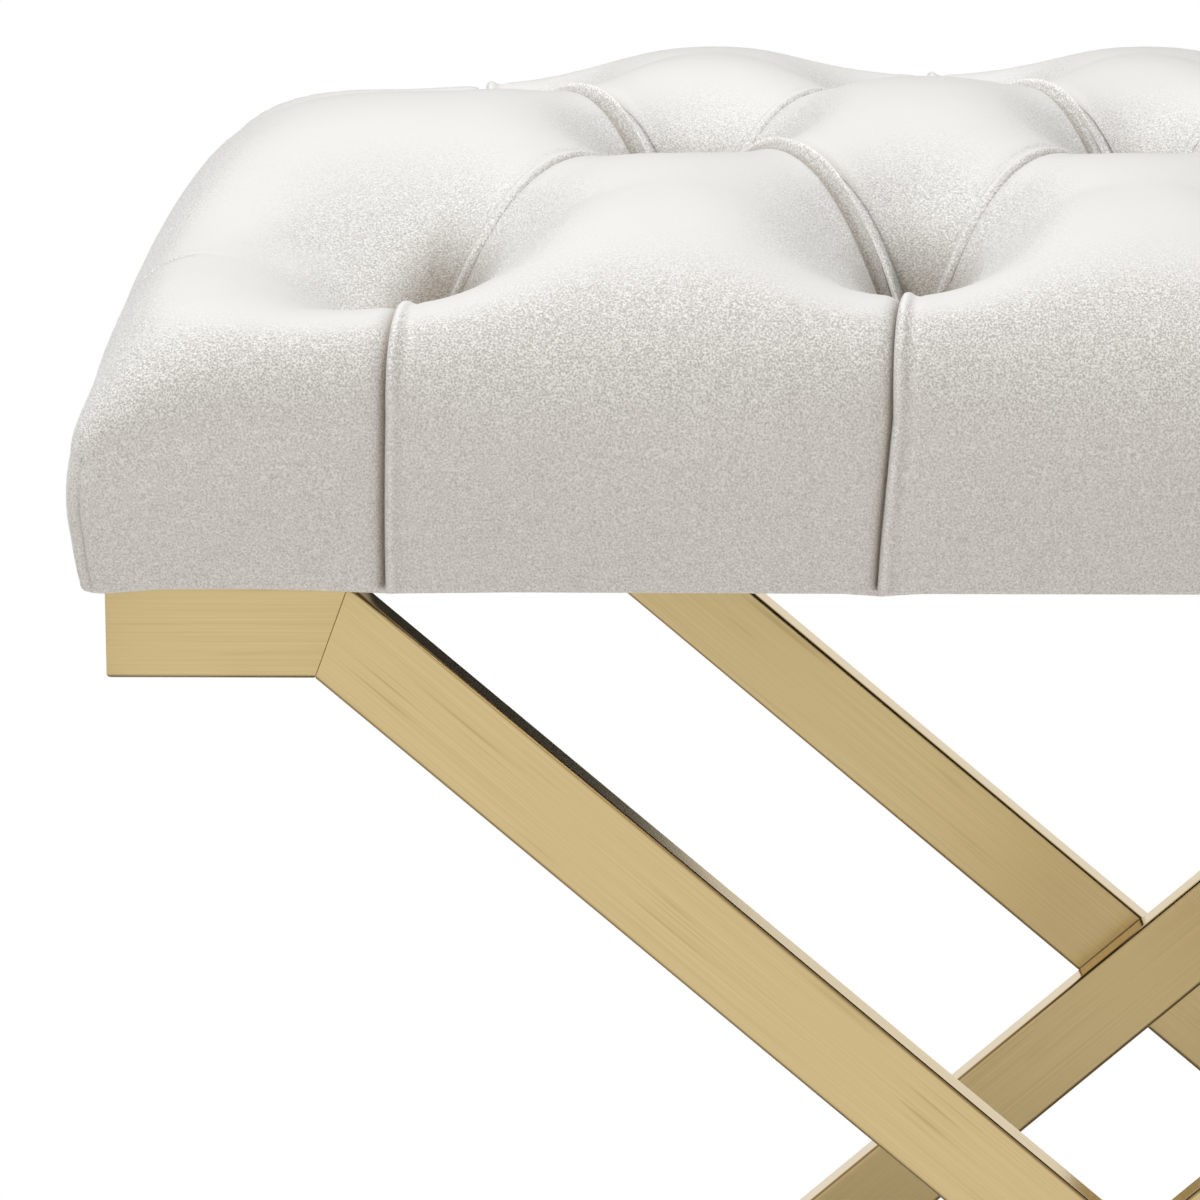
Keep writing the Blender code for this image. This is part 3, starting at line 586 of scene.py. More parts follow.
def edge_panel(across, margin, border, row_span, kinds, fold_from):
    """A half diamond that runs on over the edge and down the border, in its own axes.

    aside is across the panel from -1 to 1, out is from the inner tuft to the outer ones, edge is the sine of
    the margin's angle. kinds are the sides of its left and right fold, and of its left and right border fold,
    and fold_from is how far from the tufts the border folds begin.
    """
    p, q, faces = half_diamond(across)
    draw, share = border[0][1:], border[1][1:]
    strip_edge = np.concatenate([np.sin(margin), np.ones(len(draw))])
    strip_angle = np.concatenate([margin, np.full(len(draw), np.pi / 2)])
    strip_draw = np.concatenate([np.full(len(margin), border[0][0]), draw])
    strip_share = np.concatenate([np.full(len(margin), np.nan), share])
    rows, columns = len(strip_edge), len(across)
    part = np.tile(across, rows)
    angle = np.repeat(strip_angle, columns)
    sunk = (1 - np.nan_to_num(strip_share, nan=1.0)) * FRONT_BORDER + strip_draw
    along = np.maximum(angle * REACH_Y + np.repeat(sunk, columns) - fold_from, 0.0)
    ease = np.clip(angle / SPREAD_ANGLE, 0, 1)
    spacing = FOLD_SPACING + (2 * row_span - FOLD_SPACING) * ease * ease * (3 - 2 * ease)
    blank = np.zeros(len(p))
    on_strip = np.arange(len(p) + len(part)) >= len(p)
    left = fold(
        np.concatenate([FOLD_SPACING * q, spacing * part]),
        np.concatenate([FOLD_LENGTH * np.minimum(p, 1 - p), along]),
        np.where(on_strip, kinds[2], kinds[0]),
    )
    right = fold(
        np.concatenate([FOLD_SPACING * p, spacing * (1 - part)]),
        np.concatenate([FOLD_LENGTH * np.minimum(q, 1 - q), along]),
        np.where(on_strip, kinds[3], kinds[1]),
    )
    return {
        "aside": np.concatenate([q - p, 2 * part - 1]),
        "out": np.concatenate([p + q, np.ones(len(part))]),
        "edge": np.concatenate([blank, np.repeat(strip_edge, columns)]),
        "draw": np.concatenate([blank, np.repeat(strip_draw, columns)]),
        "share": np.concatenate([blank * np.nan, np.repeat(strip_share, columns)]),
        "faces": np.concatenate([faces, grid_quads(rows, columns) + len(p)]),
        "folds": [left, right],
    }


def long_edge_panel(column, side, across, margin, border):
    """A panel of the front (side -1) or rear (side 1) edge whose inner tuft is in this column."""
    kinds = (PLAIN, ROLL, LAP, TUCK) if side < 0 else (UNDER, SOFT, LAP, TUCK)
    panel = edge_panel(across, margin, border, TUFT_HALF_PITCH, kinds, REAR_FOLD_FROM if side > 0 else 0.0)
    panel["column"] = column + panel["aside"]
    panel["row"] = side * panel["out"]
    panel["edge_x"] = np.zeros(len(panel["aside"]))
    panel["edge_y"] = side * panel["edge"]
    return panel


def end_panel(side, across, margin, border):
    """The panel at the left (side -1) or right (side 1) end."""
    kinds = (SOFT, ROLL, END, END) if side < 0 else (UNDER, PLAIN, END, END)
    panel = edge_panel(across, margin, border, TUFT_ROW_PITCH, kinds, END_FOLD_FROM)
    panel["column"] = side * (TUFT_COLUMN - 1 + panel["out"])
    panel["row"] = panel["aside"]
    panel["edge_x"] = side * panel["edge"]
    panel["edge_y"] = np.zeros(len(panel["aside"]))
    return panel


print("sides that a fold can have:", SIDES_OF_FOLDS)

# %% Diamonds and corners
SEAM_START = 0.4  # a corner's seam takes longer to form than a fold


def diamond_panel(column, across):
    """A whole diamond centred on this column of the middle row."""
    p, q = pairs(across, across)
    blank = np.zeros(len(p))
    along_p = FOLD_LENGTH * np.minimum(p, 1 - p)
    along_q = FOLD_LENGTH * np.minimum(q, 1 - q)
    return {
        "column": column - 1 + p + q,
        "row": p - q,
        "edge_x": blank,
        "edge_y": blank,
        "draw": blank,
        "share": blank * np.nan,
        "faces": grid_quads(len(across), len(across)),
        "folds": [
            fold(FOLD_SPACING * p, along_q, UNDER),
            fold(FOLD_SPACING * (1 - p), along_q, ROLL),
            fold(FOLD_SPACING * q, along_p, PLAIN),
            fold(FOLD_SPACING * (1 - q), along_p, SOFT),
        ],
    }


def corner_panel(side_x, side_y, margin, border):
    """A corner of the seat: a square of the margin, and the two walls that meet at the corner's seam."""
    a, b = pairs(margin, margin)
    draw, share = border
    deep, round_it = pairs(np.arange(len(draw)), margin)
    full = np.full(len(deep), np.pi / 2)
    angle_x = np.concatenate([a, round_it, full])
    angle_y = np.concatenate([b, full, round_it])
    blank = np.zeros(len(a))
    sunk = (1 - share[deep]) * FRONT_BORDER + draw[deep]
    down = np.concatenate([blank + draw[0], sunk, sunk])
    seam = np.concatenate([blank + 1, REACH_X * (1 - np.sin(round_it)), REACH_Y * (1 - np.sin(round_it))])
    fold_from = REAR_FOLD_FROM if side_y > 0 else 0.0
    along_side = np.maximum(angle_y * REACH_Y + down - fold_from, 0.0)
    along_end = np.maximum(angle_x * REACH_Y + down - END_FOLD_FROM, 0.0)
    size, wall = len(margin), grid_quads(len(draw), len(margin))
    return {
        "column": np.full(len(angle_x), float(TUFT_COLUMN * side_x)),
        "row": np.full(len(angle_x), float(side_y)),
        "edge_x": side_x * np.sin(angle_x),
        "edge_y": side_y * np.sin(angle_y),
        "draw": np.concatenate([blank + draw[0], draw[deep], draw[deep]]),
        "share": np.concatenate([blank * np.nan, share[deep], share[deep]]),
        "faces": np.concatenate([grid_quads(size, size), wall + len(a), wall + len(a) + len(deep)]),
        "folds": [
            fold(REACH_X * np.sin(angle_x), along_side, LAP if side_x > 0 else TUCK),
            fold(REACH_Y * np.sin(angle_y), along_end, END),
            fold(seam, np.concatenate([blank, sunk, sunk]) * SEAM_START, SEAM),
        ],
    }


def seat_panels(across, margin, border):
    """Every panel of the cover."""
    panels = [long_edge_panel(c, side, across, margin, border) for c in (-2, 0, 2) for side in (-1, 1)]
    panels += [end_panel(side, across, margin, border) for side in (-1, 1)]
    panels += [diamond_panel(c, across) for c in (-1, 1)]
    panels += [corner_panel(sx, sy, margin, border) for sx in (-1, 1) for sy in (-1, 1)]
    return panels


cover_panels = seat_panels(*COVER_GRID)
print("panels:", len(cover_panels))

# %% [markdown]
# ## Lips and creases
#
# The profile across a fold is a few bell curves of the distance: a crease, a lip and a groove behind the
# lip. It grows from nothing at a tuft. Where two folds are near, each counts by the inverse square of its
# distance, so a point on a fold follows that fold alone and panels still meet. The lips stand out along the
# surface's own normal, because on the steep wall of a dimple a lip that only went up would not show.

# %% Lips
FOLD_START = 0.004  # a fold reaches its full form this far from a tuft
TUCK_REACH = 0.025  # near a tuft one panel is tucked deep under the other
NEAREST_SQUARE = 1e-10  # keeps the inverse square of a distance finite
# For each side of a fold, in millimetres: crease depth and width, then height, place and width of the lip
# and of the groove, and how much deeper the groove is at a tuft. Both sides of a fold have the same crease
# depth.
FOLD_SIDES = np.zeros((SIDES_OF_FOLDS, 9))
FOLD_SIDES[UNDER] = 3.2, 0.9, 0.0, 1.0, 1.0, 0.5, 3.0, 3.5, 5.0
FOLD_SIDES[ROLL] = 3.2, 0.3, 2.1, 1.5, 1.1, 2.4, 4.2, 1.7, 0.0
FOLD_SIDES[PLAIN] = 1.3, 0.7, 0.0, 1.0, 1.0, 0.3, 1.5, 1.5, 0.0
FOLD_SIDES[SOFT] = 1.3, 0.5, 0.55, 2.1, 1.4, 0.6, 4.8, 1.3, 0.0
FOLD_SIDES[TUCK] = 3.2, 1.0, 0.0, 1.0, 1.0, 0.5, 1.0, 2.4, 0.0
FOLD_SIDES[LAP] = 3.2, 0.3, 0.9, 1.9, 1.5, 0.4, 5.0, 1.4, 0.0
FOLD_SIDES[END] = 1.0, 0.5, 0.3, 1.8, 1.3, 0.0, 5.0, 1.4, 0.0
FOLD_SIDES[SEAM] = 2.4, 0.8, 0.7, 2.2, 1.4, 0.0, 5.0, 1.4, 0.0


def bell(value, middle, width):
    """A bell curve that is 1 in the middle."""
    return np.exp(-(((value - middle) / width) ** 2))


def fold_profile(distance, along, kind):
    """Height of the surface beside a fold: a crease, and clear of it a lip with a groove behind it."""
    sizes = FOLD_SIDES[kind].T / MM_PER_METRE
    depth, crease, lip, lip_place, lip_width, groove, groove_place, groove_width, tuck = sizes
    clear = 1 - np.exp(-distance / crease)
    sunk = (groove + tuck * np.exp(-along / TUCK_REACH)) * bell(distance, groove_place, groove_width)
    form = lip * bell(distance, lip_place, lip_width) - sunk
    return (1 - np.exp(-((along / FOLD_START) ** 2))) * (form * clear - depth * (1 - clear))


def fold_height(panel):
    """The profiles of all folds beside a panel, weighted by the inverse square of their distance.

    They fade out on the underside of the hem, which lies flat on the frame.
    """
    total = weight = 0.0
    for distance, along, kind in panel["folds"]:
        share = 1 / (distance**2 + NEAREST_SQUARE)
        total = total + share * fold_profile(distance, along, kind)
        weight = weight + share
    above_hem = np.clip(np.nan_to_num(panel["share"], nan=1.0) * FRONT_BORDER / HEM_ROLL, 0, 1)
    return above_hem * total / weight


print("tallest lip:", FOLD_SIDES[:, 2].max(), "mm")

# %% The cover
FULL_GROOVE = 0.0032  # a groove this deep has its full shade
FULL_LIP = 0.0018  # a lip this tall has its full light
LIP_LIGHT = 0.6  # a lip stands out of a dimple's shade by this much
HELD_REACH = 0.001  # cloth this close to a fold is held by it
HELD_SHARE = 0.12  # the lowest part of the border is held by the hem
PLACES_PER_METRE = 1e5  # points within a hundredth of a millimetre share their normal
TINY = 1e-12


def shared_normals(points, faces, outward):
    """Unit normals, averaged over all faces around a place, even where the points of two panels meet."""
    a, b, c, d = (points[faces[:, k]] for k in range(4))
    across = np.cross(c - a, d - b)
    across *= np.sign(np.sum(across * outward[faces[:, 0]], axis=1))[:, None]
    whole = np.round(points * PLACES_PER_METRE).astype(np.int64)
    places, place = np.unique(whole, axis=0, return_inverse=True)
    normals = np.zeros((len(places), 3))
    for k in range(4):
        np.add.at(normals, place.ravel()[faces[:, k]], across)
    normals /= np.maximum(np.linalg.norm(normals, axis=1, keepdims=True), TINY)
    return normals[place.ravel()]


def seat_surface(panels, inset=0.0, folds=True, sink=0.0, dent=0.0):
    """Points and faces of all panels, and per point its shades, whether it is held, and how far it may move.

    Each point moves along its normal: by the height of its folds, or without folds down by sink, plus dent
    times how deep in a dimple it lies. Folds and the hem hold their points. Slack is 0 at a corner's seam.
    """
    based = [seat_base(panel, inset) for panel in panels]
    starts = np.cumsum([0] + [len(points) for points, _ in based])
    points = np.concatenate([points for points, _ in based])
    faces = np.concatenate([panel["faces"] + start for panel, start in zip(panels, starts)])
    outward = np.concatenate([outward for _, outward in based])
    moves = [fold_height(panel) if folds else -sink - dent * panel["dimple"] for panel in panels]
    height = np.concatenate(moves)
    points = points + height[:, None] * shared_normals(points, faces, outward)
    nearest = [np.minimum.reduce([distance for distance, _, _ in panel["folds"]]) for panel in panels]
    low = np.concatenate([np.nan_to_num(panel["share"], nan=1.0) < HELD_SHARE for panel in panels])
    lip = np.clip(height / FULL_LIP, 0, 1)
    # dimple and groove darken the velvet as painted shade, and lip lightens it as a painted highlight
    values = {
        "dimple": np.concatenate([panel["dimple"] for panel in panels]) * (1 - LIP_LIGHT * lip),
        "groove": np.clip(-height / FULL_GROOVE, 0, 1),
        "lip": lip,
        "held": (low | (np.concatenate(nearest) < HELD_REACH)).astype(float),
        "slack": np.concatenate([1 - np.abs(panel["edge_x"] * panel["edge_y"]) for panel in panels]),
    }
    return points, [f if f[2] != f[3] else f[:3] for f in faces.tolist()], values


def cushion(name, surface, material):
    """A surface as one closed piece."""
    points, faces, values = surface
    piece = new_piece(name, points, faces, material)
    add_values(piece.data, values)
    tidy_surface(piece, close_holes=True)
    return piece


velvet = cushion("tufted_velvet_cushion", seat_surface(cover_panels), VELVET)
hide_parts("velvet_cover")

# %% [markdown]
# ## Settling the cover
#
# A formula makes every panel an equally taut pillow. Real cloth is pushed out by the foam, held by its
# ties, folds and hem, and finds its own shape between them. The whole fine cover could be simulated, but
# its closest points are a quarter of a millimetre apart, which is slow and stiff. So a coarse copy without
# lips is simulated as cloth for a few frames, and the fine cover is carried along with it.

# %% Cloth
CLOTH_FRAMES = 20
CLOTH_PRESSURE = 60.0  # high, because the panels are small and already curved
CLOTH_MASS = 0.02  # kg at each point, light so that a few frames are enough
CLOTH_CAP = 0.0025  # no point of the sheet moves further
SHEET_GRID = np.linspace(0, 1, 19), margin_angles(14), border_profile(7, 3)


def mesh_points(mesh):
    """The points of a mesh as rows of x, y and z."""
    flat = np.empty(len(mesh.vertices) * 3)
    mesh.vertices.foreach_get("co", flat)
    return flat.reshape(-1, 3)


def point_values(mesh, key):
    """The array that is stored per point under a name."""
    values = np.empty(len(mesh.vertices))
    mesh.attributes[key].data.foreach_get("value", values)
    return values


def coarse_sheet():
    """A coarse cover that isn't part of the bench, with its held points in a vertex group."""
    points, faces, values = seat_surface(seat_panels(*SHEET_GRID), folds=False)
    sheet = mesh_object("settling_sheet", points, faces)
    add_values(sheet.data, values)
    tidy_surface(sheet)
    held = np.flatnonzero(point_values(sheet.data, "held") > 0.5)
    sheet.vertex_groups.new(name="ties").add(held.tolist(), 1.0, "REPLACE")
    return sheet


def simulate(sheet):
    """Where the sheet's points are after some frames as cloth under pressure, with no weight."""
    cloth = sheet.modifiers.new("cloth", "CLOTH")
    cloth.settings.use_pressure = True
    cloth.settings.uniform_pressure_force = CLOTH_PRESSURE
    cloth.settings.mass = CLOTH_MASS
    cloth.settings.effector_weights.gravity = 0.0
    cloth.settings.vertex_group_mass = "ties"
    cloth.point_cache.frame_end = CLOTH_FRAMES
    for number in range(1, CLOTH_FRAMES + 1):
        bpy.context.scene.frame_set(number)
    points = mesh_points(sheet.evaluated_get(bpy.context.evaluated_depsgraph_get()).data)
    sheet.modifiers.remove(cloth)
    bpy.context.scene.frame_set(1)
    return points


def settle(piece):
    """Carries a piece along with a simulated sheet.

    Each step of the sheet is shortened to the cap, and fades to none at the corners' seams.
    """
    sheet = coarse_sheet()
    carry = piece.modifiers.new("carry", "SURFACE_DEFORM")
    carry.target = sheet
    with bpy.context.temp_override(object=piece, active_object=piece):
        bpy.ops.object.surfacedeform_bind(modifier=carry.name)
    if not carry.is_bound:
        raise RuntimeError("the cover wasn't bound to the sheet")
    step = simulate(sheet) - mesh_points(sheet.data)
    length = np.linalg.norm(step, axis=1, keepdims=True)
    step *= np.minimum(1, CLOTH_CAP / np.maximum(length, TINY)) * point_values(sheet.data, "slack")[:, None]
    sheet.data.vertices.foreach_set("co", (mesh_points(sheet.data) + step).ravel())
    sheet.data.update()
    before = mesh_points(piece.data)
    after = mesh_points(piece.evaluated_get(bpy.context.evaluated_depsgraph_get()).data)
    piece.modifiers.clear()
    piece.data.vertices.foreach_set("co", after.ravel())
    piece.data.update()
    bpy.data.meshes.remove(sheet.data)
    moved = np.linalg.norm(after - before, axis=1) * MM_PER_METRE
    print(f"cloth moved the cover {moved.mean():.2f} mm on average and {moved.max():.2f} mm at most,",
          f"{(length > CLOTH_CAP).mean():.1%} of the sheet's points were capped")


settle(velvet)

# %% [markdown]
# ## The foam
#
# Under the velvet lies one block of foam with the same form, a cloth's thickness and some slack further in.
# It is hidden, so its grid is coarse and it has no lips.

# %% Foam
FOAM_INSET = 0.0045  # in from the cover at the sides and down at the top
FOAM_SINK = 0.004  # further in along the normal, so that steep walls keep clear too
FOAM_DENT = 0.009  # and further in at the tufts, where the folds tuck in deepest


def foam_finish():
    """Pale yellow open-cell foam: fine dark pores."""
    material, tree, shader = new_material("foam", {"Roughness": 0.95})
    pores = add_group(
        tree, SPECKLE, own_place(tree), Pale=(0.84, 0.76, 0.52, 1), Dark=(0.62, 0.53, 0.30, 1),
        Fine_scale=700.0, Coarse_scale=40.0, Fine=2.0, Coarse=0.4,
    )
    feed(tree, shader, {"Base Color": pores.outputs["Color"]})
    return material


foam_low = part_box("foam_block")[0]
foam_rim = np.array([0.0, 0.0]), np.array([1.0, (foam_low.z - HEM_Z) / END_BORDER])
foam_panels = seat_panels(np.linspace(0, 1, 21), margin_angles(12), foam_rim)
foam_surface = seat_surface(foam_panels, FOAM_INSET, folds=False, sink=FOAM_SINK, dent=FOAM_DENT)
foam = cushion("foam_block_form", foam_surface, foam_finish())
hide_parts("foam_block")

# %% [markdown]
# ## Brushed brass
#
# Each bar is brushed along its length, and its narrow faces are polished further than its broad ones. An
# image of scratches would need a picture for each bar. Here every tube carries its own coordinates in
# metres, round its section and along its length. Noise that is squeezed round the section and drawn out
# along the length gives brush lines that turn with the bar at every mitre.

# %% Brushed brass
BRASS_PALE = (0.71, 0.56, 0.295, 1)
BRASS_DARK = (0.51, 0.38, 0.178, 1)
# painted reflection: the dark line along each rounded edge, put into its colour
BRASS_EDGE_REFLECTION = (0.20, 0.125, 0.05, 1)
BROAD_ROUGHNESS, NARROW_ROUGHNESS = 0.34, 0.13
BRUSH_LEVEL = 0.6  # how pale the brass is between its lines and streaks


def stretched_noise(tree, vector, stretch, detail):
    """Noise on coordinates that are first multiplied by stretch, so a small factor draws it out that way."""
    scaled = add_node(tree, "ShaderNodeVectorMath", {0: vector, 1: stretch}, operation="MULTIPLY").outputs[0]
    inputs = {"Vector": scaled, "Scale": 1.0, "Detail": detail, "Roughness": 0.55}
    return add_node(tree, "ShaderNodeTexNoise", inputs).outputs["Fac"]


def brushed_group():
    """Brush lines from coordinates in metres, x across the lines and y along them.

    The mask is a level, plus fine lines, less streaks. Streaks are the highest values of a broader line noise,
    and they are kept only in patches where a coarse noise is high.
    """
    tree, given = new_group("brushed", {"Lines": 0.8, "Streaks": 0.6})
    place = given["Vector"]
    fine = stretched_noise(tree, place, (2600.0, 11.0, 60.0), 2.0)
    broad = stretched_noise(tree, place, (900.0, 16.0, 60.0), 1.0)
    patch = stretched_noise(tree, place, (70.0, 22.0, 20.0), 1.0)
    streaks = remap(tree, broad, 0.54, 0.72)
    kept = calc(tree, "MULTIPLY", streaks, remap(tree, patch, 0.48, 0.66, curve="SMOOTHSTEP"))
    deep = calc(tree, "MULTIPLY", kept, given["Streaks"])
    lines = calc(tree, "MULTIPLY_ADD", calc(tree, "SUBTRACT", fine, 0.5), given["Lines"], BRUSH_LEVEL)
    return close_group(tree, given, calc(tree, "SUBTRACT", lines, deep, clamp=True))


BRUSHED = brushed_group()


def tube_finish():
    """Brass brushed along the tube's own coordinates, smoother on narrow faces, with painted dark reflections
    on edges.
    """
    material, tree, shader = new_material("brushed_brass", {"Metallic": 1.0, "Anisotropic": 0.4})
    place = add_node(tree, "ShaderNodeUVMap", uv_map="brush").outputs["UV"]
    lines = add_group(tree, BRUSHED, place, Pale=BRASS_PALE, Dark=BRASS_DARK, Lines=0.9, Streaks=0.55)
    tangent = add_node(tree, "ShaderNodeTangent", direction_type="UV_MAP", uv_map="brush")
    feed(tree, shader, {
        "Base Color": mix_colors(tree, stored(tree, "edge"), lines.outputs["Color"], BRASS_EDGE_REFLECTION),
        "Roughness": remap(tree, stored(tree, "polish"), 0.0, 1.0, BROAD_ROUGHNESS, NARROW_ROUGHNESS),
        "Normal": bumps(tree, lines.outputs["Mask"], 0.3, 0.00002),
        "Tangent": tangent.outputs[0],
    })
    return material


TUBE_BRASS = tube_finish()
print("finish:", TUBE_BRASS.name)

# %% [markdown]
# ## The tubes
#
# Each of the two loops is eight lengths of flat tube, mitred where they meet. A bevelled box would do for
# one length, but its ends would still have to be cut. Here a rounded section runs along the length, and
# each of its points stops where it meets the mitre plane. A hair's breadth of chamfer there draws the mitre
# as a fine line.

# %% Tube section
TUBE_EDGE = 0.0012
EDGE_STEPS = 6
EDGE_FLAT = 0.0003  # a strip beside each rounded edge, which keeps the faces flat in the light

pad_low, pad_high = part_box("outer_front_top_pad")
TUBE_WIDTH = pad_high.z - pad_low.z
TUBE_DEPTH = pad_high.y - pad_low.y


def closed(values):
    """The values with the first one again at the end."""
    return np.append(values, values[0])


def tube_section(inset):
    """The section as complex numbers, width on the real axis and depth on the other: four quarter rounds."""
    radius = TUBE_EDGE - inset
    turn = np.linspace(0, np.pi / 2, EDGE_STEPS + 1)
    arc = radius * np.exp(1j * turn)
    quarter = np.concatenate([[radius - 1j * EDGE_FLAT], arc, [1j * radius - EDGE_FLAT]])
    middle = TUBE_WIDTH / 2 - TUBE_EDGE + 1j * (TUBE_DEPTH / 2 - TUBE_EDGE)
    middles = (middle, -middle.conjugate(), -middle, middle.conjugate())
    return closed(np.concatenate([m + quarter * 1j**k for k, m in enumerate(middles)]))


def section_values():
    """Distance round the section, and for each point how polished it is and how much of an edge it is."""
    round_it = np.concatenate([[0.0], np.cumsum(np.abs(np.diff(tube_section(0.0))))])
    turn = np.concatenate([[0.0], np.linspace(0, np.pi / 2, EDGE_STEPS + 1), [np.pi / 2]])
    polish = np.tile(np.concatenate([np.cos(turn) ** 2, np.sin(turn) ** 2]), 2)
    # edge marks the rounded edges, where a dark reflection line is painted
    edge = np.tile(np.sin(2 * turn) ** 2, 4)
    return round_it, closed(polish), closed(edge)


print(f"tube {TUBE_WIDTH * MM_PER_METRE:.1f} x {TUBE_DEPTH * MM_PER_METRE:.1f} mm")

# %% Tubes
PAD_LENGTH = 0.060
MITRE_CHAMFER = 0.00016
MITRE_GAP = 0.00005
BRUSH_SHIFT = 1.37  # from one tube's brush coordinates to the next
LOOPS = "outer", "inner"
MEMBERS = (
    "front_top_pad", "front_diagonal", "front_foot", "floor_rail",
    "rear_foot", "rear_diagonal", "rear_top_pad", "top_rail",
)


def loop_corners(loop):
    """The eight corners of a loop's centre line, from the boxes of its rails and pads."""
    top = sum(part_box(f"{loop}_top_rail"), Vector()) / 2
    floor = sum(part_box(f"{loop}_floor_rail"), Vector()) / 2
    face = abs(sum(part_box(f"{loop}_front_top_pad"), Vector()).y) / 2
    reach = PAD_LENGTH - TUBE_DEPTH / 2
    bend_top = top.x - math.copysign(reach, top.x)
    bend_floor = floor.x - math.copysign(reach, floor.x)
    side = [(top.x, top.z), (bend_top, top.z), (bend_floor, floor.z), (floor.x, floor.z)]
    return np.array([(x, -face, z) for x, z in side] + [(x, face, z) for x, z in side[::-1]])


def make_tube(loop, place, number):
    """One length of tube between its two mitre planes, with brush coordinates round and along it.

    A point of the section starts at (gap - offset . normal) / (along . normal), measured along the tube from
    the corner, where normal is the mean of the directions of the two tubes that meet there.
    """
    corners = loop_corners(loop)
    steps = np.roll(corners, -1, axis=0) - corners
    ways = steps / np.linalg.norm(steps, axis=1, keepdims=True)
    before, along, after = ways[place - 1], ways[place], ways[(place + 1) % len(ways)]
    length = np.linalg.norm(steps[place])
    is_rail = abs(along[1]) > 0.5
    deep = np.array([1.0, 0, 0]) if is_rail else np.array([0, 1.0, 0])
    wide = np.cross(along, deep)
    rings, distances = [], []
    for from_start, inset in ((True, MITRE_CHAMFER), (True, 0.0), (False, 0.0), (False, MITRE_CHAMFER)):
        outline = tube_section(inset)
        offset = outline.real[:, None] * wide + outline.imag[:, None] * deep
        normal = along + (before if from_start else after)
        normal = normal / np.linalg.norm(normal)
        clear = MITRE_GAP / 2 + (MITRE_CHAMFER - inset)
        start = (clear if from_start else -clear) - offset @ normal
        distance = start / (along @ normal) + (0 if from_start else length)
        rings.append(corners[place] + offset + distance[:, None] * along)
        distances.append(distance)
    round_it, polish, edge = section_values()
    count, columns = len(rings), len(round_it)
    quads = grid_quads(count, columns)
    first = np.arange(columns - 1)
    last = first + (count - 1) * columns
    faces = quads.tolist() + [first.tolist(), last.tolist()]
    name = f"{loop}_{MEMBERS[place]}"
    tube = new_piece(f"{name}_tube", np.concatenate(rings), faces, TUBE_BRASS)
    brush = np.stack([np.tile(round_it, count), np.concatenate(distances) + BRUSH_SHIFT * number], axis=1)
    layer = tube.data.uv_layers.new(name="brush")
    layer.data.foreach_set("uv", brush[np.concatenate([quads.ravel(), first, last])].ravel())
    add_values(tube.data, {"polish": np.tile(polish, count), "edge": np.tile(edge, count)})
    tidy_surface(tube)
    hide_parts(name)


for number in range(len(LOOPS) * len(MEMBERS)):
    make_tube(LOOPS[number // len(MEMBERS)], number % len(MEMBERS), number)

# %% [markdown]
# ## Finishes of the hidden and small parts
#
# The deck, ties, bolts and glides keep the shapes that they came with, and only need a finish. Each finish
# is worked out from the part's own coordinates: pores for nylon, drawn-out grain and stacked plies for
# plywood, a twist for twine, brush lines for steel.

# %% Small finishes
PLY = 0.0015
PLY_CONTRAST = 0.22


def plywood_finish():
    """Birch plywood: drawn-out grain, and plies that take turns down the edge."""
    material, tree, shader = new_material("plywood", {"Roughness": 0.65})
    place = own_place(tree)
    grain = stretched_noise(tree, place, (9.0, 260.0, 260.0), 4.0)
    height = add_node(tree, "ShaderNodeSeparateXYZ", {0: place}).outputs["Z"]
    plies = calc(tree, "SINE", calc(tree, "MULTIPLY", height, math.pi / PLY))
    shade = calc(tree, "MULTIPLY_ADD", plies, PLY_CONTRAST, grain, clamp=True)
    feed(tree, shader, {"Base Color": mix_colors(tree, shade, (0.42, 0.27, 0.14, 1), (0.66, 0.48, 0.29, 1))})
    return material


def twine_finish():
    """Waxed twine: slanting bands, as the strands twist round each other."""
    material, tree, shader = new_material("twine", {"Roughness": 0.6})
    inputs = {"Vector": own_place(tree), "Scale": 260.0, "Distortion": 1.5}
    bands = add_node(tree, "ShaderNodeTexWave", inputs, bands_direction="DIAGONAL").outputs["Fac"]
    feed(tree, shader, {"Base Color": mix_colors(tree, bands, (0.44, 0.35, 0.22, 1), (0.70, 0.60, 0.44, 1))})
    return material


def plate_finish(name, pale, dark, roughness):
    """Metal brushed along the y axis of the part's own coordinates."""
    material, tree, shader = new_material(name, {"Metallic": 1.0, "Roughness": roughness})
    lines = add_group(tree, BRUSHED, own_place(tree), Pale=pale, Dark=dark, Lines=0.7, Streaks=0.3)
    feed(tree, shader, {"Base Color": lines.outputs["Color"]})
    return material


def speckled_finish(name, pale, dark, fine_scale, roughness):
    """A matt part with a fine speckle in its colour and its surface."""
    material, tree, shader = new_material(name, {"Roughness": roughness})
    sizes = {"Fine_scale": fine_scale, "Coarse_scale": 60.0}
    speckle = add_group(tree, SPECKLE, own_place(tree), Pale=pale, Dark=dark, **sizes)
    normal = bumps(tree, speckle.outputs["Mask"], 0.4, 0.0001)
    feed(tree, shader, {"Base Color": speckle.outputs["Color"], "Normal": normal})
    return material


STEEL = plate_finish("steel", (0.62, 0.62, 0.63, 1), (0.46, 0.46, 0.47, 1), 0.32)
KEPT_FINISHES = {
    "seat_deck": plywood_finish(),
    "tuft_tie": twine_finish(),
    "mounting_tab": plate_finish("plate_brass", BRASS_PALE, BRASS_DARK, 0.3),
    "glide": speckled_finish("nylon", (0.065, 0.065, 0.065, 1), (0.035, 0.035, 0.035, 1), 1500.0, 0.5),
    "bolt": STEEL,
    "washer": STEEL,
    "t_nut": STEEL,
}


def finish_kept_parts():
    """Gives every CAD part whose name holds one of the keys its finish."""
    count = 0
    for name, node in nodes.items():
        for key, material in KEPT_FINISHES.items():
            if key in name:
                node.data.materials.clear()
                node.data.materials.append(material)
                count += 1
    return count


print("parts that keep their shape:", finish_kept_parts())

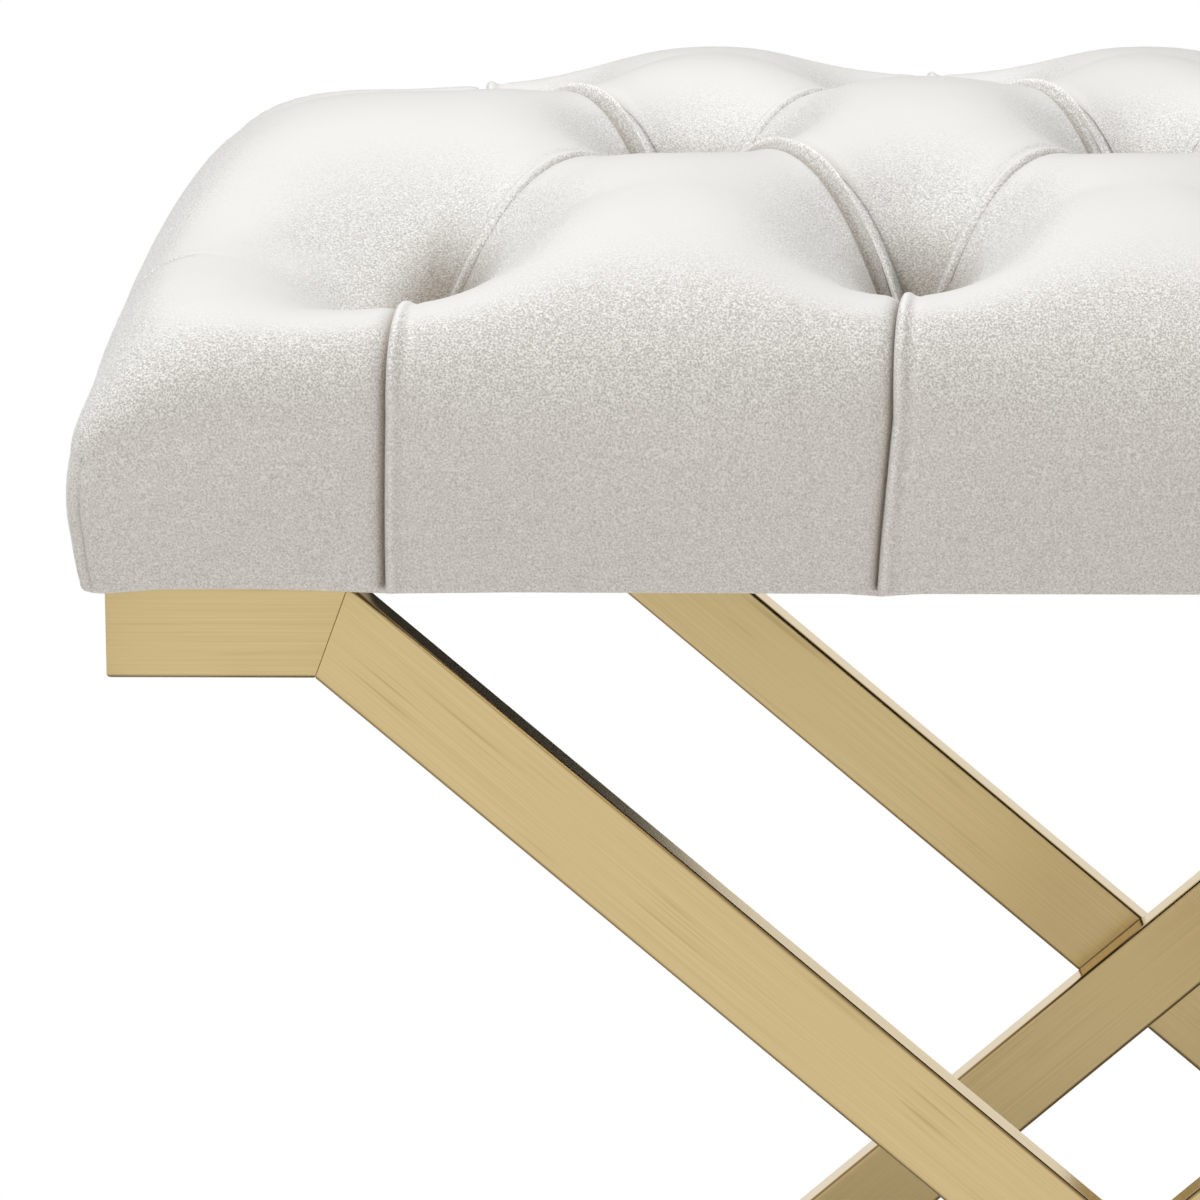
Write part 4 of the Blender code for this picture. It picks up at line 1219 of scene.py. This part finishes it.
# %% [markdown]
# ## The dust cover
#
# A thin black cloth closes the seat from below. It is stretched and stapled along its edges, and its middle
# sags a little. A flat plate would do for its size, but a slight sag with soft ripples is what a stretched
# cloth shows when light grazes it. The sag fades towards the edges, so that it keeps clear of the tabs near
# the ends.

# %% Dust cover
DUST_SAG = 0.0014
DUST_RIPPLE = 0.0002
RIPPLE_X, RIPPLE_Y = 0.021, 0.034  # the ripples' lengths divided by a full turn
RIPPLE_SWAY, SWAY_Y = 2.0, 0.05  # how far they sway from side to side, in radians, and over which length
DUST_STEPS = 76, 48

dust_low, dust_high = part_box("dust_cover")
DUST_HALF_X, DUST_HALF_Y = dust_high.x, dust_high.y


def dust_height(x, y):
    """How far the cloth hangs: the square of a bowl that vanishes at the edges, times a sag with ripples."""
    bowl = (1 - (x / DUST_HALF_X) ** 2) * (1 - (y / DUST_HALF_Y) ** 2)
    ripple = np.sin(x / RIPPLE_X + RIPPLE_SWAY * np.sin(y / SWAY_Y)) * np.sin(y / RIPPLE_Y)
    return bowl**2 * (DUST_SAG + DUST_RIPPLE * ripple)


def make_dust_cover():
    """Two grids, the cloth's upper and lower face, joined round the rim."""
    across, deep = DUST_STEPS
    y, x = pairs(np.linspace(-DUST_HALF_Y, DUST_HALF_Y, deep), np.linspace(-DUST_HALF_X, DUST_HALF_X, across))
    sag = dust_height(x, y)
    points = np.concatenate([np.stack([x, y, z - sag], axis=1) for z in (dust_high.z, dust_low.z)])
    quads = grid_quads(deep, across)
    index = np.arange(deep * across).reshape(deep, across)
    rim = np.concatenate([index[0], index[1:, -1], index[-1, -2::-1], index[-2:0:-1, 0]])
    after = np.roll(rim, -1)
    skirt = np.stack([rim, after, after + len(x), rim + len(x)], axis=1)
    faces = np.concatenate([quads, quads + len(x), skirt])
    cloth = speckled_finish("dust_cloth", (0.030, 0.030, 0.031, 1), (0.012, 0.012, 0.013, 1), 900.0, 0.9)
    cover = new_piece("stretched_dust_cover", points, faces.tolist(), cloth)
    tidy_surface(cover)
    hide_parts("dust_cover")


make_dust_cover()

# %% Staples
STAPLE_LENGTH = 0.010
STAPLE_WIDTH = 0.0012
STAPLE_HEIGHT = 0.0005
STAPLE_TAPER = 0.85  # size of the lower face against the upper one
STAPLE_INSET = 0.006
STAPLE_CLEAR = 0.00003
LONG_ROW = np.linspace(-0.225, 0.225, 13)  # along the front and the rear
END_ROW = -0.06, -0.02, 0.02, 0.06  # at both ends, clear of the tabs


def staple_places():
    """Middle of every staple, and 1 where it is turned along y."""
    along = [(x, side * (DUST_HALF_Y - STAPLE_INSET), 0.0) for x in LONG_ROW for side in (-1, 1)]
    ends = [(side * (DUST_HALF_X - STAPLE_INSET), y, 1.0) for y in END_ROW for side in (-1, 1)]
    return np.array(along + ends)


def make_staples():
    """Flat crowns of wire: eight corners each, the lower four drawn in a little as a bevel."""
    places = staple_places()
    signs = np.array([(a, b, c) for c in (-1, 1) for b in (-1, 1) for a in (-1, 1)], float)
    shrink = np.where(signs[:, 2] < 0, STAPLE_TAPER, 1.0)
    long = signs[:, 0] * STAPLE_LENGTH / 2 * shrink
    wide = signs[:, 1] * STAPLE_WIDTH / 2 * shrink
    turned = places[:, 2:3]
    x = places[:, 0:1] + long * (1 - turned) + wide * turned
    y = places[:, 1:2] + long * turned + wide * (1 - turned)
    z = np.broadcast_to(dust_low.z - STAPLE_CLEAR - (1 - signs[:, 2]) / 2 * STAPLE_HEIGHT, x.shape)
    points = np.stack([x, y, z], axis=2).reshape(-1, 3)
    cube = np.array([(0, 1, 3, 2), (4, 5, 7, 6), (0, 1, 5, 4), (2, 3, 7, 6), (0, 2, 6, 4), (1, 3, 7, 5)])
    faces = (cube[None] + len(signs) * np.arange(len(places))[:, None, None]).reshape(-1, 4)
    staples = new_piece("dust_cover_staples", points, faces.tolist(), STEEL)
    tidy_surface(staples, smooth=False)


make_staples()

# %% [markdown]
# ## The stage
#
# The bench stands on a plain pale floor under one large soft lamp, with a weak one low in front and a
# little light from all round. The picture's background is white. Turning the lamps up until the floor burns
# out would spoil the velvet, so the floor is white by itself away from the bench, and only near it does it
# show real light and shadow.

# %% Floor, lamps and world
FLOOR_HALF = 20.0
FLOOR_COLOR = (0.94, 0.94, 0.94, 1)
SHADOW_INNER = 0.34
SHADOW_OUTER = 0.60


def seen_directly(tree):
    """1 for what the eye or a gloss sees, 0 for light that falls on other things."""
    path = add_node(tree, "ShaderNodeLightPath").outputs
    return calc(tree, "MAXIMUM", path["Is Camera Ray"], path["Is Glossy Ray"])


def floor_finish():
    """A pale matt floor near the bench that turns plain white further out, for the eye and for gloss."""
    material, tree, shader = new_material("studio_floor")
    tree.nodes.remove(shader)
    reach = add_node(tree, "ShaderNodeVectorMath", {0: own_place(tree)}, operation="LENGTH").outputs["Value"]
    away = remap(tree, reach, SHADOW_INNER, SHADOW_OUTER, curve="SMOOTHSTEP")
    share = calc(tree, "MULTIPLY", seen_directly(tree), away)
    matt = add_node(tree, "ShaderNodeBsdfDiffuse", {"Color": FLOOR_COLOR}).outputs[0]
    white = add_node(tree, "ShaderNodeEmission", {"Color": WHITE, "Strength": 1.0}).outputs[0]
    mix = add_node(tree, "ShaderNodeMixShader", {0: share, 1: matt, 2: white}).outputs[0]
    feed(tree, tree.nodes["Material Output"], {"Surface": mix})
    return material


def make_floor():
    """A flat square at height zero."""
    corners = [(x * FLOOR_HALF, y * FLOOR_HALF, 0) for x, y in ((-1, -1), (1, -1), (1, 1), (-1, 1))]
    floor = mesh_object("studio_floor", corners, [(0, 1, 2, 3)], floor_finish())


def make_lamp(name, place, target, size, watts, color, glossy=True):
    """An area lamp that faces its target."""
    data = bpy.data.lights.new(name, "AREA")
    data.shape = "RECTANGLE"
    data.size, data.size_y = size
    data.energy = watts
    data.color = color
    lamp = add_object(name, data)
    lamp.location = place
    lamp.rotation_euler = (Vector(target) - Vector(place)).to_track_quat("-Z", "Y").to_euler()
    lamp.visible_glossy = glossy


def make_world(strength, color):
    """White to the eye and to gloss, and a weaker even light for everything else."""
    world = bpy.data.worlds.new("studio")
    bpy.context.scene.world = world
    world.use_nodes = True
    tree = world.node_tree
    seen = seen_directly(tree)
    feed(tree, tree.nodes["Background"], {
        "Color": mix_colors(tree, seen, color, WHITE),
        "Strength": remap(tree, seen, 0.0, 1.0, strength, 1.0),
    })


make_floor()
make_lamp(
    "top_softbox", place=(-0.5, -0.11, 2.1), target=(0.0, 0.0, 0.4), size=(2.0, 1.6),
    watts=41.0, color=(0.885, 0.942, 1.0),
)
make_lamp(
    "low_fill", place=(0.0, -1.7, 0.1), target=(0.0, -0.2, 0.42), size=(2.0, 0.6),
    watts=7.0, color=(1.0, 0.95, 0.90), glossy=False,
)
make_world(strength=0.30, color=(1.0, 0.938, 0.875, 1))
bpy.context.scene.view_settings.view_transform = "Standard"
print("stage ready")
